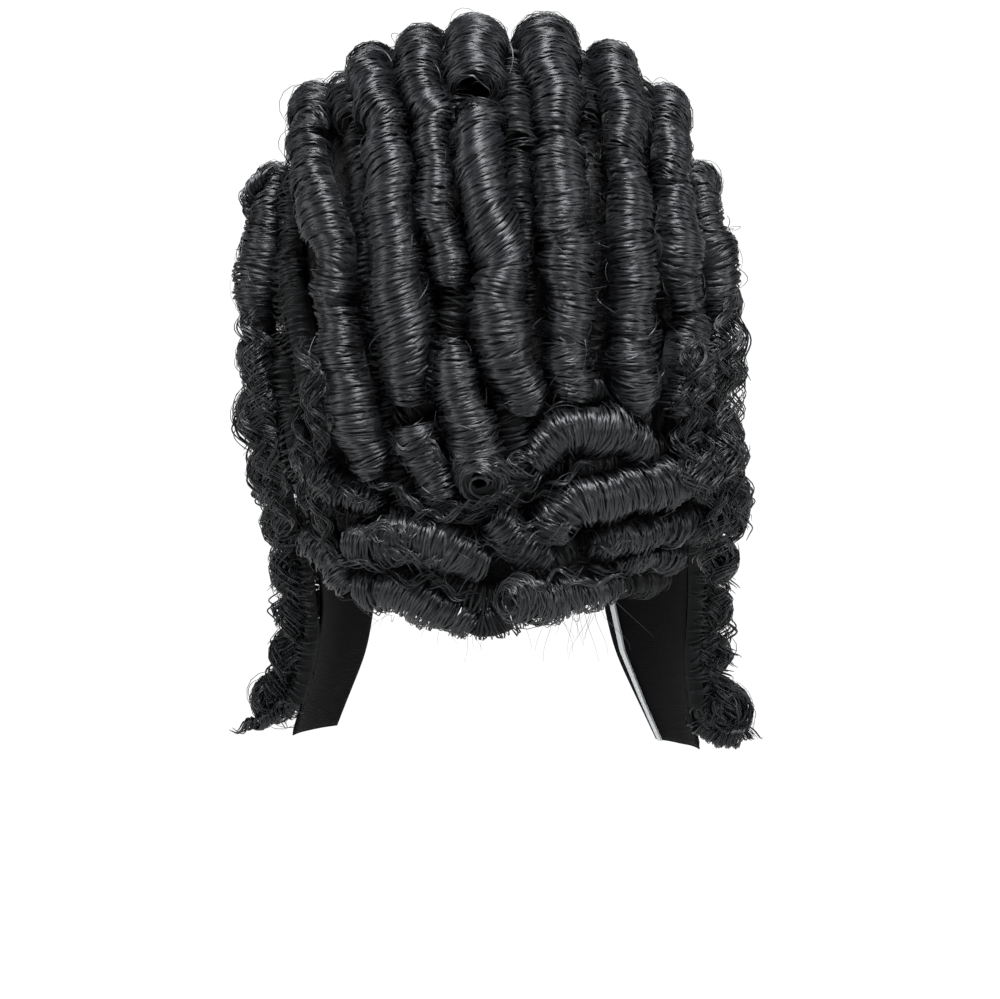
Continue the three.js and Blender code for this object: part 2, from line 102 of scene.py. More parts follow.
# Curls seen from straight behind: node, lean, front, stations. lean is how far along the curl its hairs
# run in half a turn, at its start and at its end. front is where a curl starts over the crown, in degrees
# past the widest level at the back. A station is across, height, radius, and y where the curl stands free
# of the cap.
CURLS_BEHIND = [
    ("crown_curl_2_1", (3, 5), 130, [(-73, -8, 11), (-72, -16, 11)]),
    ("crown_curl_2_2", (8, 6), None, [(-74, -22, 10), (-69, -46, 12), (-61, -66, 12), (-60, -89, 11)]),
    ("crown_curl_2_3", (7, 4), None,
     [(-60, -93, 11), (-58, -108, 12), (-55, -124, 13), (-51, -140, 13), (-45, -156, 10)]),
    ("crown_curl_3_1", (-4, -6), 147, [(-48, 2, 11), (-43, -13, 11)]),
    ("crown_curl_3_2", (-9, -3), None,
     [(-40, -18, 10), (-39, -35, 12), (-38, -52, 13), (-37, -72, 13), (-35, -92, 13), (-32, -110, 13),
      (-32, -127, 10)]),
    ("crown_curl_4_1", (2, 0), 149, [(-27, 6, 12), (-25, -10, 10)]),
    ("crown_curl_4_2", (-3, 4), None,
     [(-21, -15, 10), (-20, -35, 11), (-20, -52, 11), (-17, -67, 9), (-13, -82, 9)]),
    ("crown_curl_5_1", (2, 2), 150, [(-5, -4, 14)]),
    ("crown_curl_5_2", (-19, 5), None,
     [(-3, -12, 12), (-4, -27, 13), (-2, -48, 13), (3, -64, 12), (6, -77, 12), (4, -91, 14),
      (6, -105, 14), (11, -118, 12), (15, -130, 9)]),
    ("crown_curl_6_1", (-3, -1), 149, [(24, 9, 14), (28, -10, 12), (28, -25, 10)]),
    ("crown_curl_6_2", (-1, 2), None, [(29, -29, 13), (29, -43, 13), (29, -59, 12)]),
    ("crown_curl_6_3", (1, 3), None, [(31, -63, 12), (32, -84, 12), (32, -103, 11)]),
    ("crown_curl_6_4", (3, 7), None, [(30, -107, 11), (34, -126, 11)]),
    ("crown_curl_7_1", (5, 2), 147, [(51, 2, 12), (55, -13, 12), (54, -36, 10)]),
    ("crown_curl_7_2", (-4, -1), None, [(56, -41, 11), (56, -59, 12), (57, -80, 12), (57, -103, 11)]),
    ("crown_curl_7_3", (2, 4), None, [(56, -107, 12), (58, -120, 12), (61, -131, 9)]),
    ("crown_curl_8_1", (5, 2), 129, [(74, -10, 11), (74, -20, 11), (74, -39, 10)]),
    ("crown_curl_8_2", (2, 2), None, [(76, -44, 10), (76, -66, 12), (78, -89, 11)]),
    ("crown_curl_8_3", (-5, -2), None, [(82, -97, 12), (80, -114, 13), (76, -132, 11)]),
    ("nape_curl_1", (2, 2), None,
     [(-15, -106, 10), (-11, -124, 11), (-7, -140, 12), (-3, -154, 12), (-2, -162, 11, -124)]),
    ("nape_curl_2", (3, 3), None, [(19, -152, 10), (30, -141, 12), (46, -140, 12), (61, -147, 9)]),
    ("nape_curl_3", (-3, -3), None,
     [(22, -180, 10), (36, -169, 12), (55, -166, 12), (76, -162, 12), (88, -157, 11, -58),
      (100, -151, 11, -49)]),
    ("nape_curl_4", (2, 2), None, [(40, -186, 9), (66, -181, 10), (84, -179, 10), (101, -177, 10, -44)]),
    ("nape_curl_5", (2, 2), None, [(51, -194, 8), (62, -192, 8), (75, -193, 8)]),
    ("nape_curl_6", (-3, -3), None, [(9, -208, 11, -112), (24, -208, 11), (37, -206, 9), (50, -203, 8)]),
    ("nape_curl_7", (4, 4), None, [(-48, -203, 10), (-30, -206, 11), (-8, -217, 10)]),
    ("nape_curl_8", (3, 3), None, [(-52, -187, 11), (-36, -184, 12), (-19, -185, 12), (-3, -194, 11)]),
    ("nape_curl_9", (2, 2), None, [(-30, -140, 11), (-17, -166, 11)]),
    ("nape_curl_10", (2, 2), None, [(-73, -150, 10), (-59, -163, 10), (-44, -170, 8)]),
    ("nape_curl_11", (2, 2), None, [(-70, -184, 9), (-54, -202, 9)]),
    ("nape_curl_12", (2, 2), None, [(2, -176, 10), (21, -192, 10)]),
    ("side_lock_left", (14, 14), None,
     [(-96, -106, 5, -47), (-92, -124, 6, -49), (-86, -143, 6, -47), (-78, -168, 5, -42)]),
]

# The outermost crown curls, seen from the side: node, lean, side, and stations along y, height, radius.
CURLS_BESIDE = [
    ("crown_curl_1_1", (2, 2), -1,
     [(70, -50, 9), (47, -45, 10), (24, -42, 10), (2, -40, 10), (-20, -42, 11)]),
    ("crown_curl_1_2", (3, 3), -1, [(-34, -53, 11), (-36, -70, 12), (-34, -92, 12)]),
    ("crown_curl_9_1", (-2, -2), 1,
     [(70, -51, 9), (47, -45, 10), (24, -41, 10), (2, -39, 10), (-20, -40, 9)]),
    ("crown_curl_9_2", (-3, -3), 1, [(-34, -50, 10), (-37, -70, 12), (-34, -94, 12)]),
]

# Curls stacked down each side: height, radius, how far the rear end stands past the bed's rear edge,
# how far the front end stops short of its front.
SIDE_CURLS_RIGHT = [
    (-69, 11, -16, -20),
    (-90, 12, -16, -10),
    (-115, 12, 12, 0),
    (-144, 11, 10, 0),
    (-173, 13, 8, 2),
    (-198, 11, 2, 0),
    (-219, 10, 0, 2),
    (-239, 10, 2, 0),
    (-266, 13, 6, 0),
]
SIDE_CURLS_LEFT = [
    (-68, 11, -16, -20),
    (-88, 11, -16, -10),
    (-111, 11, 10, 0),
    (-134, 12, 12, 2),
    (-157, 11, 6, 2),
    (-181, 10, 0, 0),
    (-201, 10, 1, 2),
    (-220, 9, 0, 0),
    (-239, 10, 1, 2),
    (-261, 11, 4, 0),
]

# How points are fitted to the form and the beds.
SLOPE_STEP = 0.05
SETTLE_PASSES = 4
HALVINGS = 24
BED_STEP_ACROSS = 0.02
BED_STEP_DOWN = 2

# How curls lie.
GAP = 0.5
SIDE_GAP = 0.8
LAPPET_THICKNESS = 2
SEAT = 0.9  # height of a curl's axis over its bed, as a share of its radius
FRONT_STEP = 20
AXIS_STEP = 2.0  # between two sections of a curl
DIRECTIONS = 16  # in which a curl is pressed by its neighbours
END_TAPER = 0.85  # share of the radius that is left at an end
END_ROUND = 5.0  # length of the taper
END_REACH = 5.0  # how far loose hair rounds off past an end
LEAST_ROUNDING = 0.1
LEAST_RADIUS = 3.0
THINNEST = 0.8  # radius at which the innermost hairs lie
SIDE_SECTIONS = 5
SIDE_LEAN = (3, 5)
NEIGHBOUR_REACH = 30
PRESS_PASSES = 12
PRESS_STEP = 0.6  # share of an overlap that one pass takes away
BESIDE_BED = 0.05  # cosine of the directions that just miss the bed

# Hair wound on the curls.
STRANDS_PER_MM = 2.15
STRAND_POINTS = 7
STRAND_WIDTH = 0.9
STRAND_HEIGHT = 0.24
STRAND_SINK = 0.7  # how far most hairs lie under a curl's outline
DISORDER = {"crown": 1.0, "nape": 1.2, "side": 1.5}  # how ruffled the curls of each part are
END_STRANDS = 16
SIDE_END_STRANDS = 22
END_POINTS = 13
CREASE = 3.0  # depth of the deepest crease across a curl
TWIST = 1.1  # height of the swell that winds along a curl
CRISP_EDGE = 60.0  # angle in degrees past which an edge of a strand isn't shaded round
CORE_DEPTH = 3.4
CORE_INSET = 5.0
CORE_SIDES = 10
CORE_STEP = 5.0
CURL_WALL = 3.5

# How a hair is wound. A pair is the range that the hairs are drawn from.
LEAST_STRANDS = 12
TONES = (0.15, 1)  # between a material's dark and light colour
FULL_TURN = 6.3  # radians, about
WIND_TURN = (90, 122)  # degrees to each side of a hair's middle
WIND_STRAY = 18  # degrees
TUFT_LEAN = 5.0  # how far the slant of a tuft strays
HAIR_LEAN = 2.2  # and that of each hair in it
TUFT_LENGTH = 6  # along the curl
SAG = -1.2
SAG_STRAY = 2.2
SAG_LENGTH = 10
WAVER = 0.7
WAVER_TURN = (2, 5)  # radians in half a hair
LAYERS = {0.2: 0.1, 0.0: 0.4, -0.3: 0.3, -0.7: 0.2}  # lift of a hair, share of the hairs
GROOVES = [(0.4, 2.4), (0.7, 8)]  # depth, length along the curl
CREASE_LENGTH = 9
CREASE_FROM = 0.3  # height of a wave that starts a crease
TWIST_PITCH = (24, 34)
STRAY_LIFT = 0.5
TUCK = 1.6  # how far the ends of a hair dip
TUCK_FROM = 0.75  # share of half a hair
STRAND_ROLL = 13  # degrees
STRAND_SIZE = (0.5, 1.25)

# How a hair winds into the hollow at a curl's end.
END_SIZE = (0.5, 1.1)
END_TURNS = (0.5, 1.3)
END_DEPTH = (-2.0, 5.5)
END_SLIDE = (-2, 5)
END_WIND = (0, 7)  # towards the axis
END_WAVES = (4, 9)  # radians along a hair

# Hair between the curls, short hair on the cap, and loose hair over the curls.
RUN_ON_SHARE = 0.95  # of the radius of the curls that it joins
UNDER_DENSITY = 0.34  # of the hairs of a curl
UNDERCOAT_HAIRS = 600
UNDERCOAT_POINTS = 6
UNDERCOAT_SIZE = (0.5, 1.0)
UNDERCOAT_TOP = -6
UNDERCOAT_FALL = (14, 26)
UNDERCOAT_RISE = (0.2, 1.6)
UNDERCOAT_HIDDEN = 3.5  # depth inside a curl at which no hair is needed
RIM_MARGIN = 22  # of the lowest hairs' starts over the rim
LOOSE_PER_CURL = 14
LOOSE_POINTS = 8
LOOSE_SIZE = (0.2, 0.45)
LOOSE_START = (-110, 110)  # degrees about the curl
LOOSE_TURN = (-130, 130)  # degrees
LOOSE_SLIDE = 9
LOCK_POINTS = 28
LOCK_SIZE = (0.45, 0.9)
LOCK_WIDTH = (0.7, 1.15)  # share of the coil
LOCK_SLIDE = 2.5
RINGLET_POINTS = 16
RINGLET_SIZE = (0.35, 0.8)
RINGLET_PITCH = (11, 20)
RINGLET_DIP = 3.5  # of both ends
RINGLET_DEPTH = 9.0  # how far forward a ringlet follows the curls before it hangs free
RINGLET_STAND_OFF = 7.0  # of its middle from the nearest curl, at most
FACE_CELL = 2.0  # of the grid that says how far back the curls reach
FACE_SPREAD = 8  # cells past the curls
FACE_TURNS = 48
NECK_HAIRS = 34
NECK_SIZE = 0.22
NECK_ACROSS = (-45, 48)
NECK_TOP = -206
NECK_DEPTH = -88
NECK_LENGTH = (10, 30)

# Under-curls that fill the hollows between the curls: how far they sink towards the cap, front and
# stations, as above.
UNDER_CURLS = [
    (4, 138, [(-61, -3, 10), (-57, -14, 9)]),
    (4, 147, [(-36, 4, 10), (-32, -14, 8)]),
    (4, 148, [(-15, 4, 10), (-13, -12, 9), (-12, -30, 8)]),
    (4, 148, [(10, 6, 10), (12, -10, 10), (13, -26, 9)]),
    (4, 147, [(38, 4, 10), (42, -14, 9)]),
    (4, 138, [(64, -4, 10), (65, -20, 9)]),
    (6, None, [(-86, -58, 9), (-82, -90, 10), (-75, -128, 10), (-70, -142, 8)]),
    (7, None, [(-56, -14, 8), (-54, -40, 9), (-50, -70, 9), (-48, -100, 8)]),
    (7, None, [(-46, -100, 8), (-44, -128, 9), (-40, -152, 9), (-34, -172, 8)]),
    (6, None, [(-30, -20, 6), (-29, -60, 7), (-25, -100, 7)]),
    (5, None, [(-13, -82, 8), (-14, -94, 9), (-15, -108, 8)]),
    (7, None, [(11, -8, 7), (13, -34, 8), (16, -62, 8), (18, -90, 6)]),
    (6, None, [(42, -10, 7), (43, -40, 7), (44, -80, 7), (44, -120, 7)]),
    (6, None, [(66, -24, 7), (66, -60, 7), (68, -100, 8), (70, -128, 7)]),
    (5, None, [(88, -84, 8), (87, -108, 9), (84, -134, 9)]),
    (6, None, [(-20, -104, 8), (-24, -124, 9), (-36, -138, 8)]),
    (5, None, [(2, -118, 8), (10, -138, 10), (12, -158, 10), (6, -172, 9)]),
    (5, None, [(26, -124, 8), (44, -124, 8), (66, -136, 8)]),
    (6, None, [(-26, -172, 9), (-8, -172, 9), (8, -168, 8)]),
    (6, None, [(-66, -170, 9), (-50, -178, 8), (-30, -174, 8)]),
    (5, None, [(28, -156, 9), (48, -154, 9), (72, -149, 9)]),
    (6, None, [(18, -200, 9), (34, -190, 9), (60, -188, 9)]),
    (2, None, [(-20, -200, 9), (-4, -207, 9), (12, -206, 8)]),
    (0, None, [(-14, -212, 8), (-2, -218, 9), (13, -213, 9)]),
    (0, None, [(-93, -84, 9, -16), (-92, -114, 9, -16)]),
    (0, None, [(-84, -150, 9, -22), (-81, -188, 8, -16)]),
    (0, None, [(94, -112, 9, -16), (94, -148, 9, -16)]),
    (0, None, [(-78, -178, 7, -9), (-73, -215, 7, 1), (-76, -240, 7, 9), (-82, -262, 7, 16)]),
    (0, None, [(87, -182, 7, -9), (87, -215, 7, 1), (86, -240, 7, 8), (89, -264, 7, 15)]),
    (5, None, [(44, -208, 8), (60, -205, 8), (74, -204, 8)]),
    (5, None, [(-72, -168, 8), (-66, -186, 8), (-58, -196, 7)]),
]

# The same at both sides: sink, and stations along y, height, radius.
UNDER_CURLS_BESIDE = [
    (5, [(62, -24, 9), (30, -18, 9), (0, -17, 9), (-26, -24, 9), (-46, -44, 9), (-52, -70, 9),
         (-50, -98, 9)]),
    (5, [(34, -64, 8), (6, -61, 8), (-13, -68, 8), (-15, -90, 8)]),
    (4, [(-50, -104, 9), (-53, -126, 9), (-58, -150, 9), (-62, -172, 8)]),
]

# Crown curls that run on into the next of their column: column, number.
RUN_ON = [(1, 1), (2, 1), (2, 2), (3, 1), (4, 1), (6, 2), (6, 3), (7, 1), (7, 2), (8, 1), (9, 1)]

# Loose locks: the solid that a lock stands for, radius and turns of the coil, hairs, points of the path.
LOCKS = [
    dict(node="side_lock_left", coil=4.5, turns=3.2, hairs=60,
         path=[(-96, -47, -104), (-92, -49, -124), (-86, -47, -143), (-78, -42, -170)]),
    dict(node=None, coil=5.5, turns=1.3, hairs=14,
         path=[(-99, -20, -126), (-100, -22, -142), (-97, -20, -158)]),
    dict(node=None, coil=5, turns=1.4, hairs=14,
         path=[(98, -36, -150), (104, -34, -166), (106, -30, -184)]),
    dict(node=None, coil=3.5, turns=2, hairs=30,
         path=[(-90, 20, -262), (-98, 16, -267), (-105, 14, -269)]),
    dict(node=None, coil=4.5, turns=2.5, hairs=40,
         path=[(88, 22, -268), (99, 18, -273), (110, 14, -272)]),
    dict(node=None, coil=3.5, turns=2, hairs=40,
         path=[(-90, -36, -36), (-98, -33, -44), (-97, -30, -56)]),
]

# Ringlets that hang over the curls, in bands seen from straight behind: half the band's width, the
# ringlets in it, their hairs, length and radius, and the band's spine as across and height.
RINGLETS = [
    dict(name="left_upper", width=5.5, locks=42, hairs=7, length=28, coil=3.2,
         spine=[(-96, -88), (-94, -111), (-95, -136), (-91, -159), (-86, -182), (-83, -201)]),
    dict(name="left_lower", width=5.5, locks=54, hairs=7, length=24, coil=3.2,
         spine=[(-86, -182), (-83, -201), (-81, -218), (-83, -236), (-90, -256), (-92, -270)]),
    dict(name="left_inner", width=6, locks=24, hairs=9, length=28, coil=3,
         spine=[(-77, -101), (-73, -130), (-70, -159), (-67, -180), (-65, -197)]),
    dict(name="right_upper", width=5.5, locks=42, hairs=7, length=28, coil=3.2,
         spine=[(99, -88), (99, -109), (98, -134), (99, -151), (100, -176), (95, -199)]),
    dict(name="right_lower", width=5.5, locks=54, hairs=7, length=24, coil=3.2,
         spine=[(98, -184), (95, -199), (95, -217), (94, -236), (98, -258), (99, -276)]),
    dict(name="right_inner", width=6, locks=20, hairs=9, length=26, coil=3,
         spine=[(83, -101), (83, -130), (83, -151), (87, -172)]),
    dict(name="nape_upper", width=14, locks=14, hairs=6, length=24, coil=2.5,
         spine=[(-60, -152), (-36, -160), (-10, -168), (16, -164), (40, -156), (70, -152)]),
    dict(name="nape_lower", width=14, locks=16, hairs=6, length=24, coil=2.5,
         spine=[(-62, -186), (-30, -190), (0, -196), (30, -192), (64, -186)]),
]

# The lappets' cloth.
SHEET_COLUMNS = 24
SHEET_STEPS = 64
SHEET_SMOOTHING = 12  # passes that ease the bends between a lappet's rows
SHEET_WIDTH = 80  # about, to lay out ripples and hems
RIPPLE = 0.8
RIPPLE_WIDTH = 22
RIPPLE_LENGTH = 30
HEM = 1.5

# Surfaces. Colours are a dark and a light one.
HAIR_COLOURS = ((0.002, 0.002, 0.0022), (0.0055, 0.0058, 0.0067))
HAIR_SHINE = 0.22
# Hair in the hollows between the curls and on the cap. It is given less shine than the curls' hair as
# painted shade, for the shadow in those hollows.
SHADE_PAINTED_HAIR_COLOURS = ((0.0024, 0.0024, 0.0026), (0.005, 0.0052, 0.0056))
SHADE_PAINTED_HAIR_SHINE = 0.08
# A cool tint on the hair's reflections, painted in for the cool colour of the light.
COOL_LIGHT_TINT = (0.93, 0.97, 1.0, 1.0)
HAIR_ANISOTROPY = 0.92
HAIR_ROUGHNESS = (0.42, 0.56)
HAIR_BUMP = (0.1, 0.0003)  # strength, depth in metres
CORE_DULLNESS = 0.5  # roughness added to the cores, which have no tone
CORE_TONE = 0.1  # tone at which that has faded out
FIBRES_ACROSS = 3000  # streaks over the strands of a curl
FIBRES_ALONG = 4
CLOTH_THREADS = (200, 200)  # across, along
CLOTH_COLOURS = ((0.0006, 0.0006, 0.0008), (0.0014, 0.0015, 0.0019))
TAPE_THREADS = (24, 160)
TAPE_COLOURS = ((0.24, 0.25, 0.255), (0.34, 0.35, 0.355))
WEAVE_SHINE = 0.04
WEAR_SCALE = 60
BANDS_PER_SCALE = 3.2  # of Blender's wave texture
NET_COLOURS = ((0.0012, 0.0012, 0.0013), (0.006, 0.006, 0.0065))
NET_SCALE = 420
NET_CORD = 0.16  # share of a cell
FLOOR_COLOURS = ((0.47, 0.47, 0.47), (0.51, 0.51, 0.51))

# The photo's view: camera straight behind, at the height of the nape.
IMAGE_WIDTH = 1000
CAMERA_DISTANCE = 2.2
CAMERA_ELEVATION = 2.0
CAMERA_TARGET = Vector((0.00504, 0.0, -0.1718))
MM_PER_PIXEL = 0.42
SENSOR = 36.0
FLOOR_HEIGHT = -0.5
FLOOR_RADIUS = 1.6
FLOOR_SIDES = 96
BACKDROP_WHITE = 1.05
BACKDROP_SIDE = (0.2, 0.7)  # cosines between which it fades into the room
BACKDROP_RISE = 0.2  # sine of the backdrop's upper edge
ROOM_GREY = 0.14
CEILING_GREY = 0.08
LIGHT_TARGET = Vector((0, 0, -0.14))
LIGHTS = [
    # name, place in metres, size in metres, power in watts
    ("key", (0.3, -2.2, 3.9), 1.5, 1300),
    ("left_fill", (-1.5, -0.9, 0.3), 0.7, 38),
    ("right_fill", (1.5, -0.9, 0.3), 0.7, 38),
]


def unit(v):
    """Vectors at length 1."""
    return v / np.maximum(np.linalg.norm(v, axis=-1, keepdims=True), 1e-9)


def swing(out, side, turn):
    """The way at a turn from out towards side."""
    return out * np.cos(turn)[..., None] + side * np.sin(turn)[..., None]


def ease(share):
    """A share from 0 to 1, slow at both ends."""
    return share * share * (3 - 2 * share)


def run_length(points):
    """How far along a run each of its points is."""
    return np.concatenate([[0], np.cumsum(np.linalg.norm(np.diff(points, axis=0), axis=1))])


# The head form

def level_reach(x, y, grow):
    """How far from the middle a point lies in a level section, 1 being the widest outline."""
    a = np.abs(x) / (HEAD_WIDTH / 2 + grow)
    b = np.abs(y) / (HEAD_LENGTH / 2 + grow)
    return (a**BROW_SQUARENESS + b**BROW_SQUARENESS) ** (1 / BROW_SQUARENESS)


def outline_reach(z, grow):
    """The reach of the form's own outline at a height, 0 at the crown."""
    rise = np.asarray(z, float) + CROWN_HEIGHT
    share = np.clip(rise / (CROWN_HEIGHT + grow), 0, 1)
    crown = (1 - share**CROWN_SQUARENESS) ** (1 / CROWN_SQUARENESS)
    return np.where(rise < 0, 1 - NAPE_TAPER * (rise / NAPE_DROP) ** 2, crown)


def form_level(p, grow):
    """Below 0 inside the form, above 0 outside it."""
    reach = level_reach(p[..., 0], p[..., 1], grow)
    rise = p[..., 2] + CROWN_HEIGHT
    share = np.maximum(rise, 0) / (CROWN_HEIGHT + grow)
    crown = (reach**CROWN_SQUARENESS + share**CROWN_SQUARENESS) ** (1 / CROWN_SQUARENESS)
    below = outline_reach(np.minimum(p[..., 2], -CROWN_HEIGHT), grow)
    nape = reach / np.maximum(below, LEAST_OUTLINE)
    return np.where(rise < 0, nape, crown) - 1


def form_slope(p, grow):
    """The gradient of form_level."""
    slope = np.empty_like(p)
    for axis in range(3):
        step = np.zeros(3)
        step[axis] = SLOPE_STEP
        rise = form_level(p + step, grow) - form_level(p - step, grow)
        slope[..., axis] = rise / (2 * SLOPE_STEP)
    return slope


def outward(p):
    return unit(form_slope(p, CAP_WALL))


def cap_clearance(p):
    """Distance from the cap's outside, good near the cap."""
    slope = np.linalg.norm(form_slope(p, CAP_WALL), axis=-1)
    return form_level(p, CAP_WALL) / slope


def settle(p, distance):
    """Moves points along the form's slope until they stand the given distance off the cap."""
    p = np.array(p, float)
    for _ in range(SETTLE_PASSES):
        p = p + outward(p) * (distance - cap_clearance(p))[..., None]
    return p


def form_point(bearing, z, grow):
    """A point of the form at a bearing from straight back, in degrees, and a height."""
    turn = np.radians(bearing)
    x, y = np.sin(turn), -np.cos(turn)
    run = outline_reach(z, grow) / level_reach(x, y, grow)
    return np.stack(np.broadcast_arrays(x * run, y * run, np.asarray(z, float)), axis=-1)


def stand_off(radius):
    """How far a curl's axis stands off the cap."""
    return GAP + radius * SEAT


def spare_reach(taken, z, grow):
    """The share of the form's depth or width that is left at a height, past a share of the other."""
    spare = max(0.0, float(outline_reach(z, grow)) ** BROW_SQUARENESS - taken**BROW_SQUARENESS)
    return spare ** (1 / BROW_SQUARENESS)


def seat_behind(x, z, radius):
    """The axis of a curl that is seen from behind at x, z."""
    grow = CAP_WALL + stand_off(radius)
    y = -(HEAD_LENGTH / 2 + grow) * spare_reach(abs(x) / (HEAD_WIDTH / 2 + grow), z, grow)
    return settle([x, y, z], stand_off(radius))


def seat_beside(side, y, z, radius):
    """The axis of a curl that is seen from the side at y, z."""
    grow = CAP_WALL + stand_off(radius)
    x = side * (HEAD_WIDTH / 2 + grow) * spare_reach(abs(y) / (HEAD_LENGTH / 2 + grow), z, grow)
    return settle([x, y, z], stand_off(radius))


def seat_over(x, angle, radius):
    """The axis of a curl over the crown, at an angle about the widest level."""
    grow = CAP_WALL + stand_off(radius)
    near, far = 0.0, float(HEAD_LENGTH)
    turn = math.radians(angle)
    for _ in range(HALVINGS):
        reach = (near + far) / 2
        p = np.array([x, -reach * math.cos(turn), reach * math.sin(turn) - CROWN_HEIGHT])
        if form_level(p, grow) < 0:
            near = reach
        else:
            far = reach
    return settle(p, stand_off(radius))


# The side beds

def table_row(rows, z):
    """The columns of a lappet's table after the height, at a height."""
    return [np.interp(-z, -rows[:, 0], rows[:, k]) for k in range(1, rows.shape[1])]


def side_bed(rows, across, z):
    """A point of the right side's bed: the cap's wall above the lappet's top, the lappet below it.
    across is 0 at the rear edge and 1 at the front edge."""
    bearing = LAPPET_REAR_BEARING + (LAPPET_FRONT_BEARING - LAPPET_REAR_BEARING) * across
    on_cap = form_point(bearing, max(z, LAPPET_TOP), CAP_WALL / 2)
    if z >= LAPPET_TOP:
        return on_cap
    rear_x, rear_y, front_x, front_y, swell = table_row(rows, z)
    run = np.array([front_x - rear_x, front_y - rear_y, 0])
    out = unit(np.array([run[1], -run[0], 0]))
    hanging = np.array([rear_x, rear_y, z]) + run * across + out * swell * 4 * across * (1 - across)
    share = min(1.0, (LAPPET_TOP - z) / (LAPPET_TOP - rows[0, 0]))
    blend = ease(share)
    on_cap[2] = z
    return on_cap * (1 - blend) + hanging * blend


def side_outward(rows, across, z):
    along = side_bed(rows, across + BED_STEP_ACROSS, z) - side_bed(rows, across - BED_STEP_ACROSS, z)
    down = side_bed(rows, across, z - BED_STEP_DOWN) - side_bed(rows, across, z + BED_STEP_DOWN)
    return unit(np.cross(down, along))


# Curls

@dataclass
class Curl:
    """A rolled curl: sections along its axis, and its radius in each direction at each section."""

    node: str
    lean: tuple
    centre: np.ndarray
    along: np.ndarray
    out: np.ndarray
    side: np.ndarray
    radius: np.ndarray
    place: np.ndarray  # how far along the axis each section is
    pressed: np.ndarray = None  # radii by section and direction

    @property
    def length(self):
        return self.place[-1]

    @property
    def disorder(self):
        return DISORDER[self.node.split("_")[0]] if self.node else 1.0

    def surface(self, place, turn, lift=0.0):
        """Points at places along the axis and turns about it, lifted off the pressed surface, and the
        way out there."""
        at = np.interp(place, self.place, np.arange(len(self.place)))
        low = np.minimum(at.astype(int), len(self.place) - 2)
        share = (at - low)[..., None]
        past = place - np.clip(place, 0, self.length)
        rounding = np.sqrt(np.clip(1 - (past / END_REACH) ** 2, LEAST_ROUNDING, 1))
        spot = (turn / (2 * np.pi) * DIRECTIONS) % DIRECTIONS
        first = spot.astype(int) % DIRECTIONS
        second = (first + 1) % DIRECTIONS
        part = ease(spot - np.floor(spot))

        def across(rows):
            return self.pressed[rows, first] * (1 - part) + self.pressed[rows, second] * part

        def blend(values):
            return values[low] * (1 - share) + values[low + 1] * share

        radius = across(low) * (1 - share[..., 0]) + across(low + 1) * share[..., 0]
        radius = np.maximum(radius * rounding + lift, THINNEST)
        way = swing(unit(blend(self.out)), unit(blend(self.side)), turn)
        middle = blend(self.centre) + blend(self.along) * past[..., None]
        return middle + way * radius[..., None], way


def smooth_run(points, values):
    """A Catmull-Rom run through points, with other columns carried along in straight lines."""
    points = np.asarray(points, float)
    ends = np.vstack([2 * points[0] - points[1], points, 2 * points[-1] - points[-2]])
    run, carried = [], []
    for i in range(len(points) - 1):
        a, b, c, d = ends[i : i + 4]
        cuts = max(2, int(np.linalg.norm(c - b) / AXIS_STEP))
        last = i == len(points) - 2
        t = np.linspace(0, 1, cuts + 1)[: None if last else -1, None]
        run.append(0.5 * (2 * b + (c - a) * t + (2 * a - 5 * b + 4 * c - d) * t**2
                          + (3 * b - a - 3 * c + d) * t**3))
        carried.append(values[i] * (1 - t) + values[i + 1] * t)
    return np.vstack(run), np.vstack(carried)


def make_curl(node, lean, points, radii, outs):
    """A curl through points, before it is pressed by its neighbours."""
    centre, carried = smooth_run(points, np.column_stack([radii, outs]))
    along = unit(np.gradient(centre, axis=0))
    out = carried[:, 1:]
    out = unit(out - along * (out * along).sum(-1, keepdims=True))
    place = run_length(centre)
    end = np.minimum(place, place[-1] - place) / END_ROUND
    radius = carried[:, 0] * (1 - (1 - END_TAPER) * np.clip(1 - end, 0, 1) ** 2)
    return Curl(node, lean, centre, along, out, np.cross(out, along), radius, place)


def curl_behind(node, lean, front, stations):
    points, radii = [], []
    first_x, first_z, first_radius = stations[0][:3]
    if front:
        first = seat_behind(first_x, first_z, first_radius)
        back = math.degrees(math.atan2(first[2] + CROWN_HEIGHT, -first[1]))
        steps = math.ceil((front - back) / FRONT_STEP)
        for step in range(steps):
            points.append(seat_over(first_x, front + (back - front) * step / steps, first_radius))
            radii.append(first_radius)
    for x, z, radius, *y in stations:
        points.append(np.array([x, y[0], z], float) if y else seat_behind(x, z, radius))
        radii.append(radius)
    return make_curl(node, lean, points, radii, outward(np.array(points)))


def curl_beside(node, lean, side, stations):
    points = [seat_beside(side, y, z, radius) for y, z, radius in stations]
    return make_curl(node, lean, points, [row[2] for row in stations], outward(np.array(points)))


def side_curl(node, row, rows, side):
    z, radius, overhang, inset = row
    length = np.linalg.norm(side_bed(rows, 0, z) - side_bed(rows, 1, z))
    start, end = -overhang / length, 1 - inset / length
    mirror = np.array([side, 1, 1])
    points, outs = [], []
    for across in np.linspace(start, end, SIDE_SECTIONS):
        out = side_outward(rows, across, z)
        stand = LAPPET_THICKNESS / 2 + SIDE_GAP + radius * SEAT
        points.append((side_bed(rows, across, z) + out * stand) * mirror)
        outs.append(out * mirror)
    lean = tuple(side * slant for slant in SIDE_LEAN)
    return make_curl(node, lean, points, [radius] * len(points), outs)


def sunk(curl, sink):
    curl.centre = curl.centre - curl.out * sink
    return curl


def under_curl(sink, front, stations):
    return sunk(curl_behind(None, (0, 0), front, stations), sink)


def under_curl_beside(side, sink, stations):
    return sunk(curl_beside(None, (0, 0), side, stations), sink)


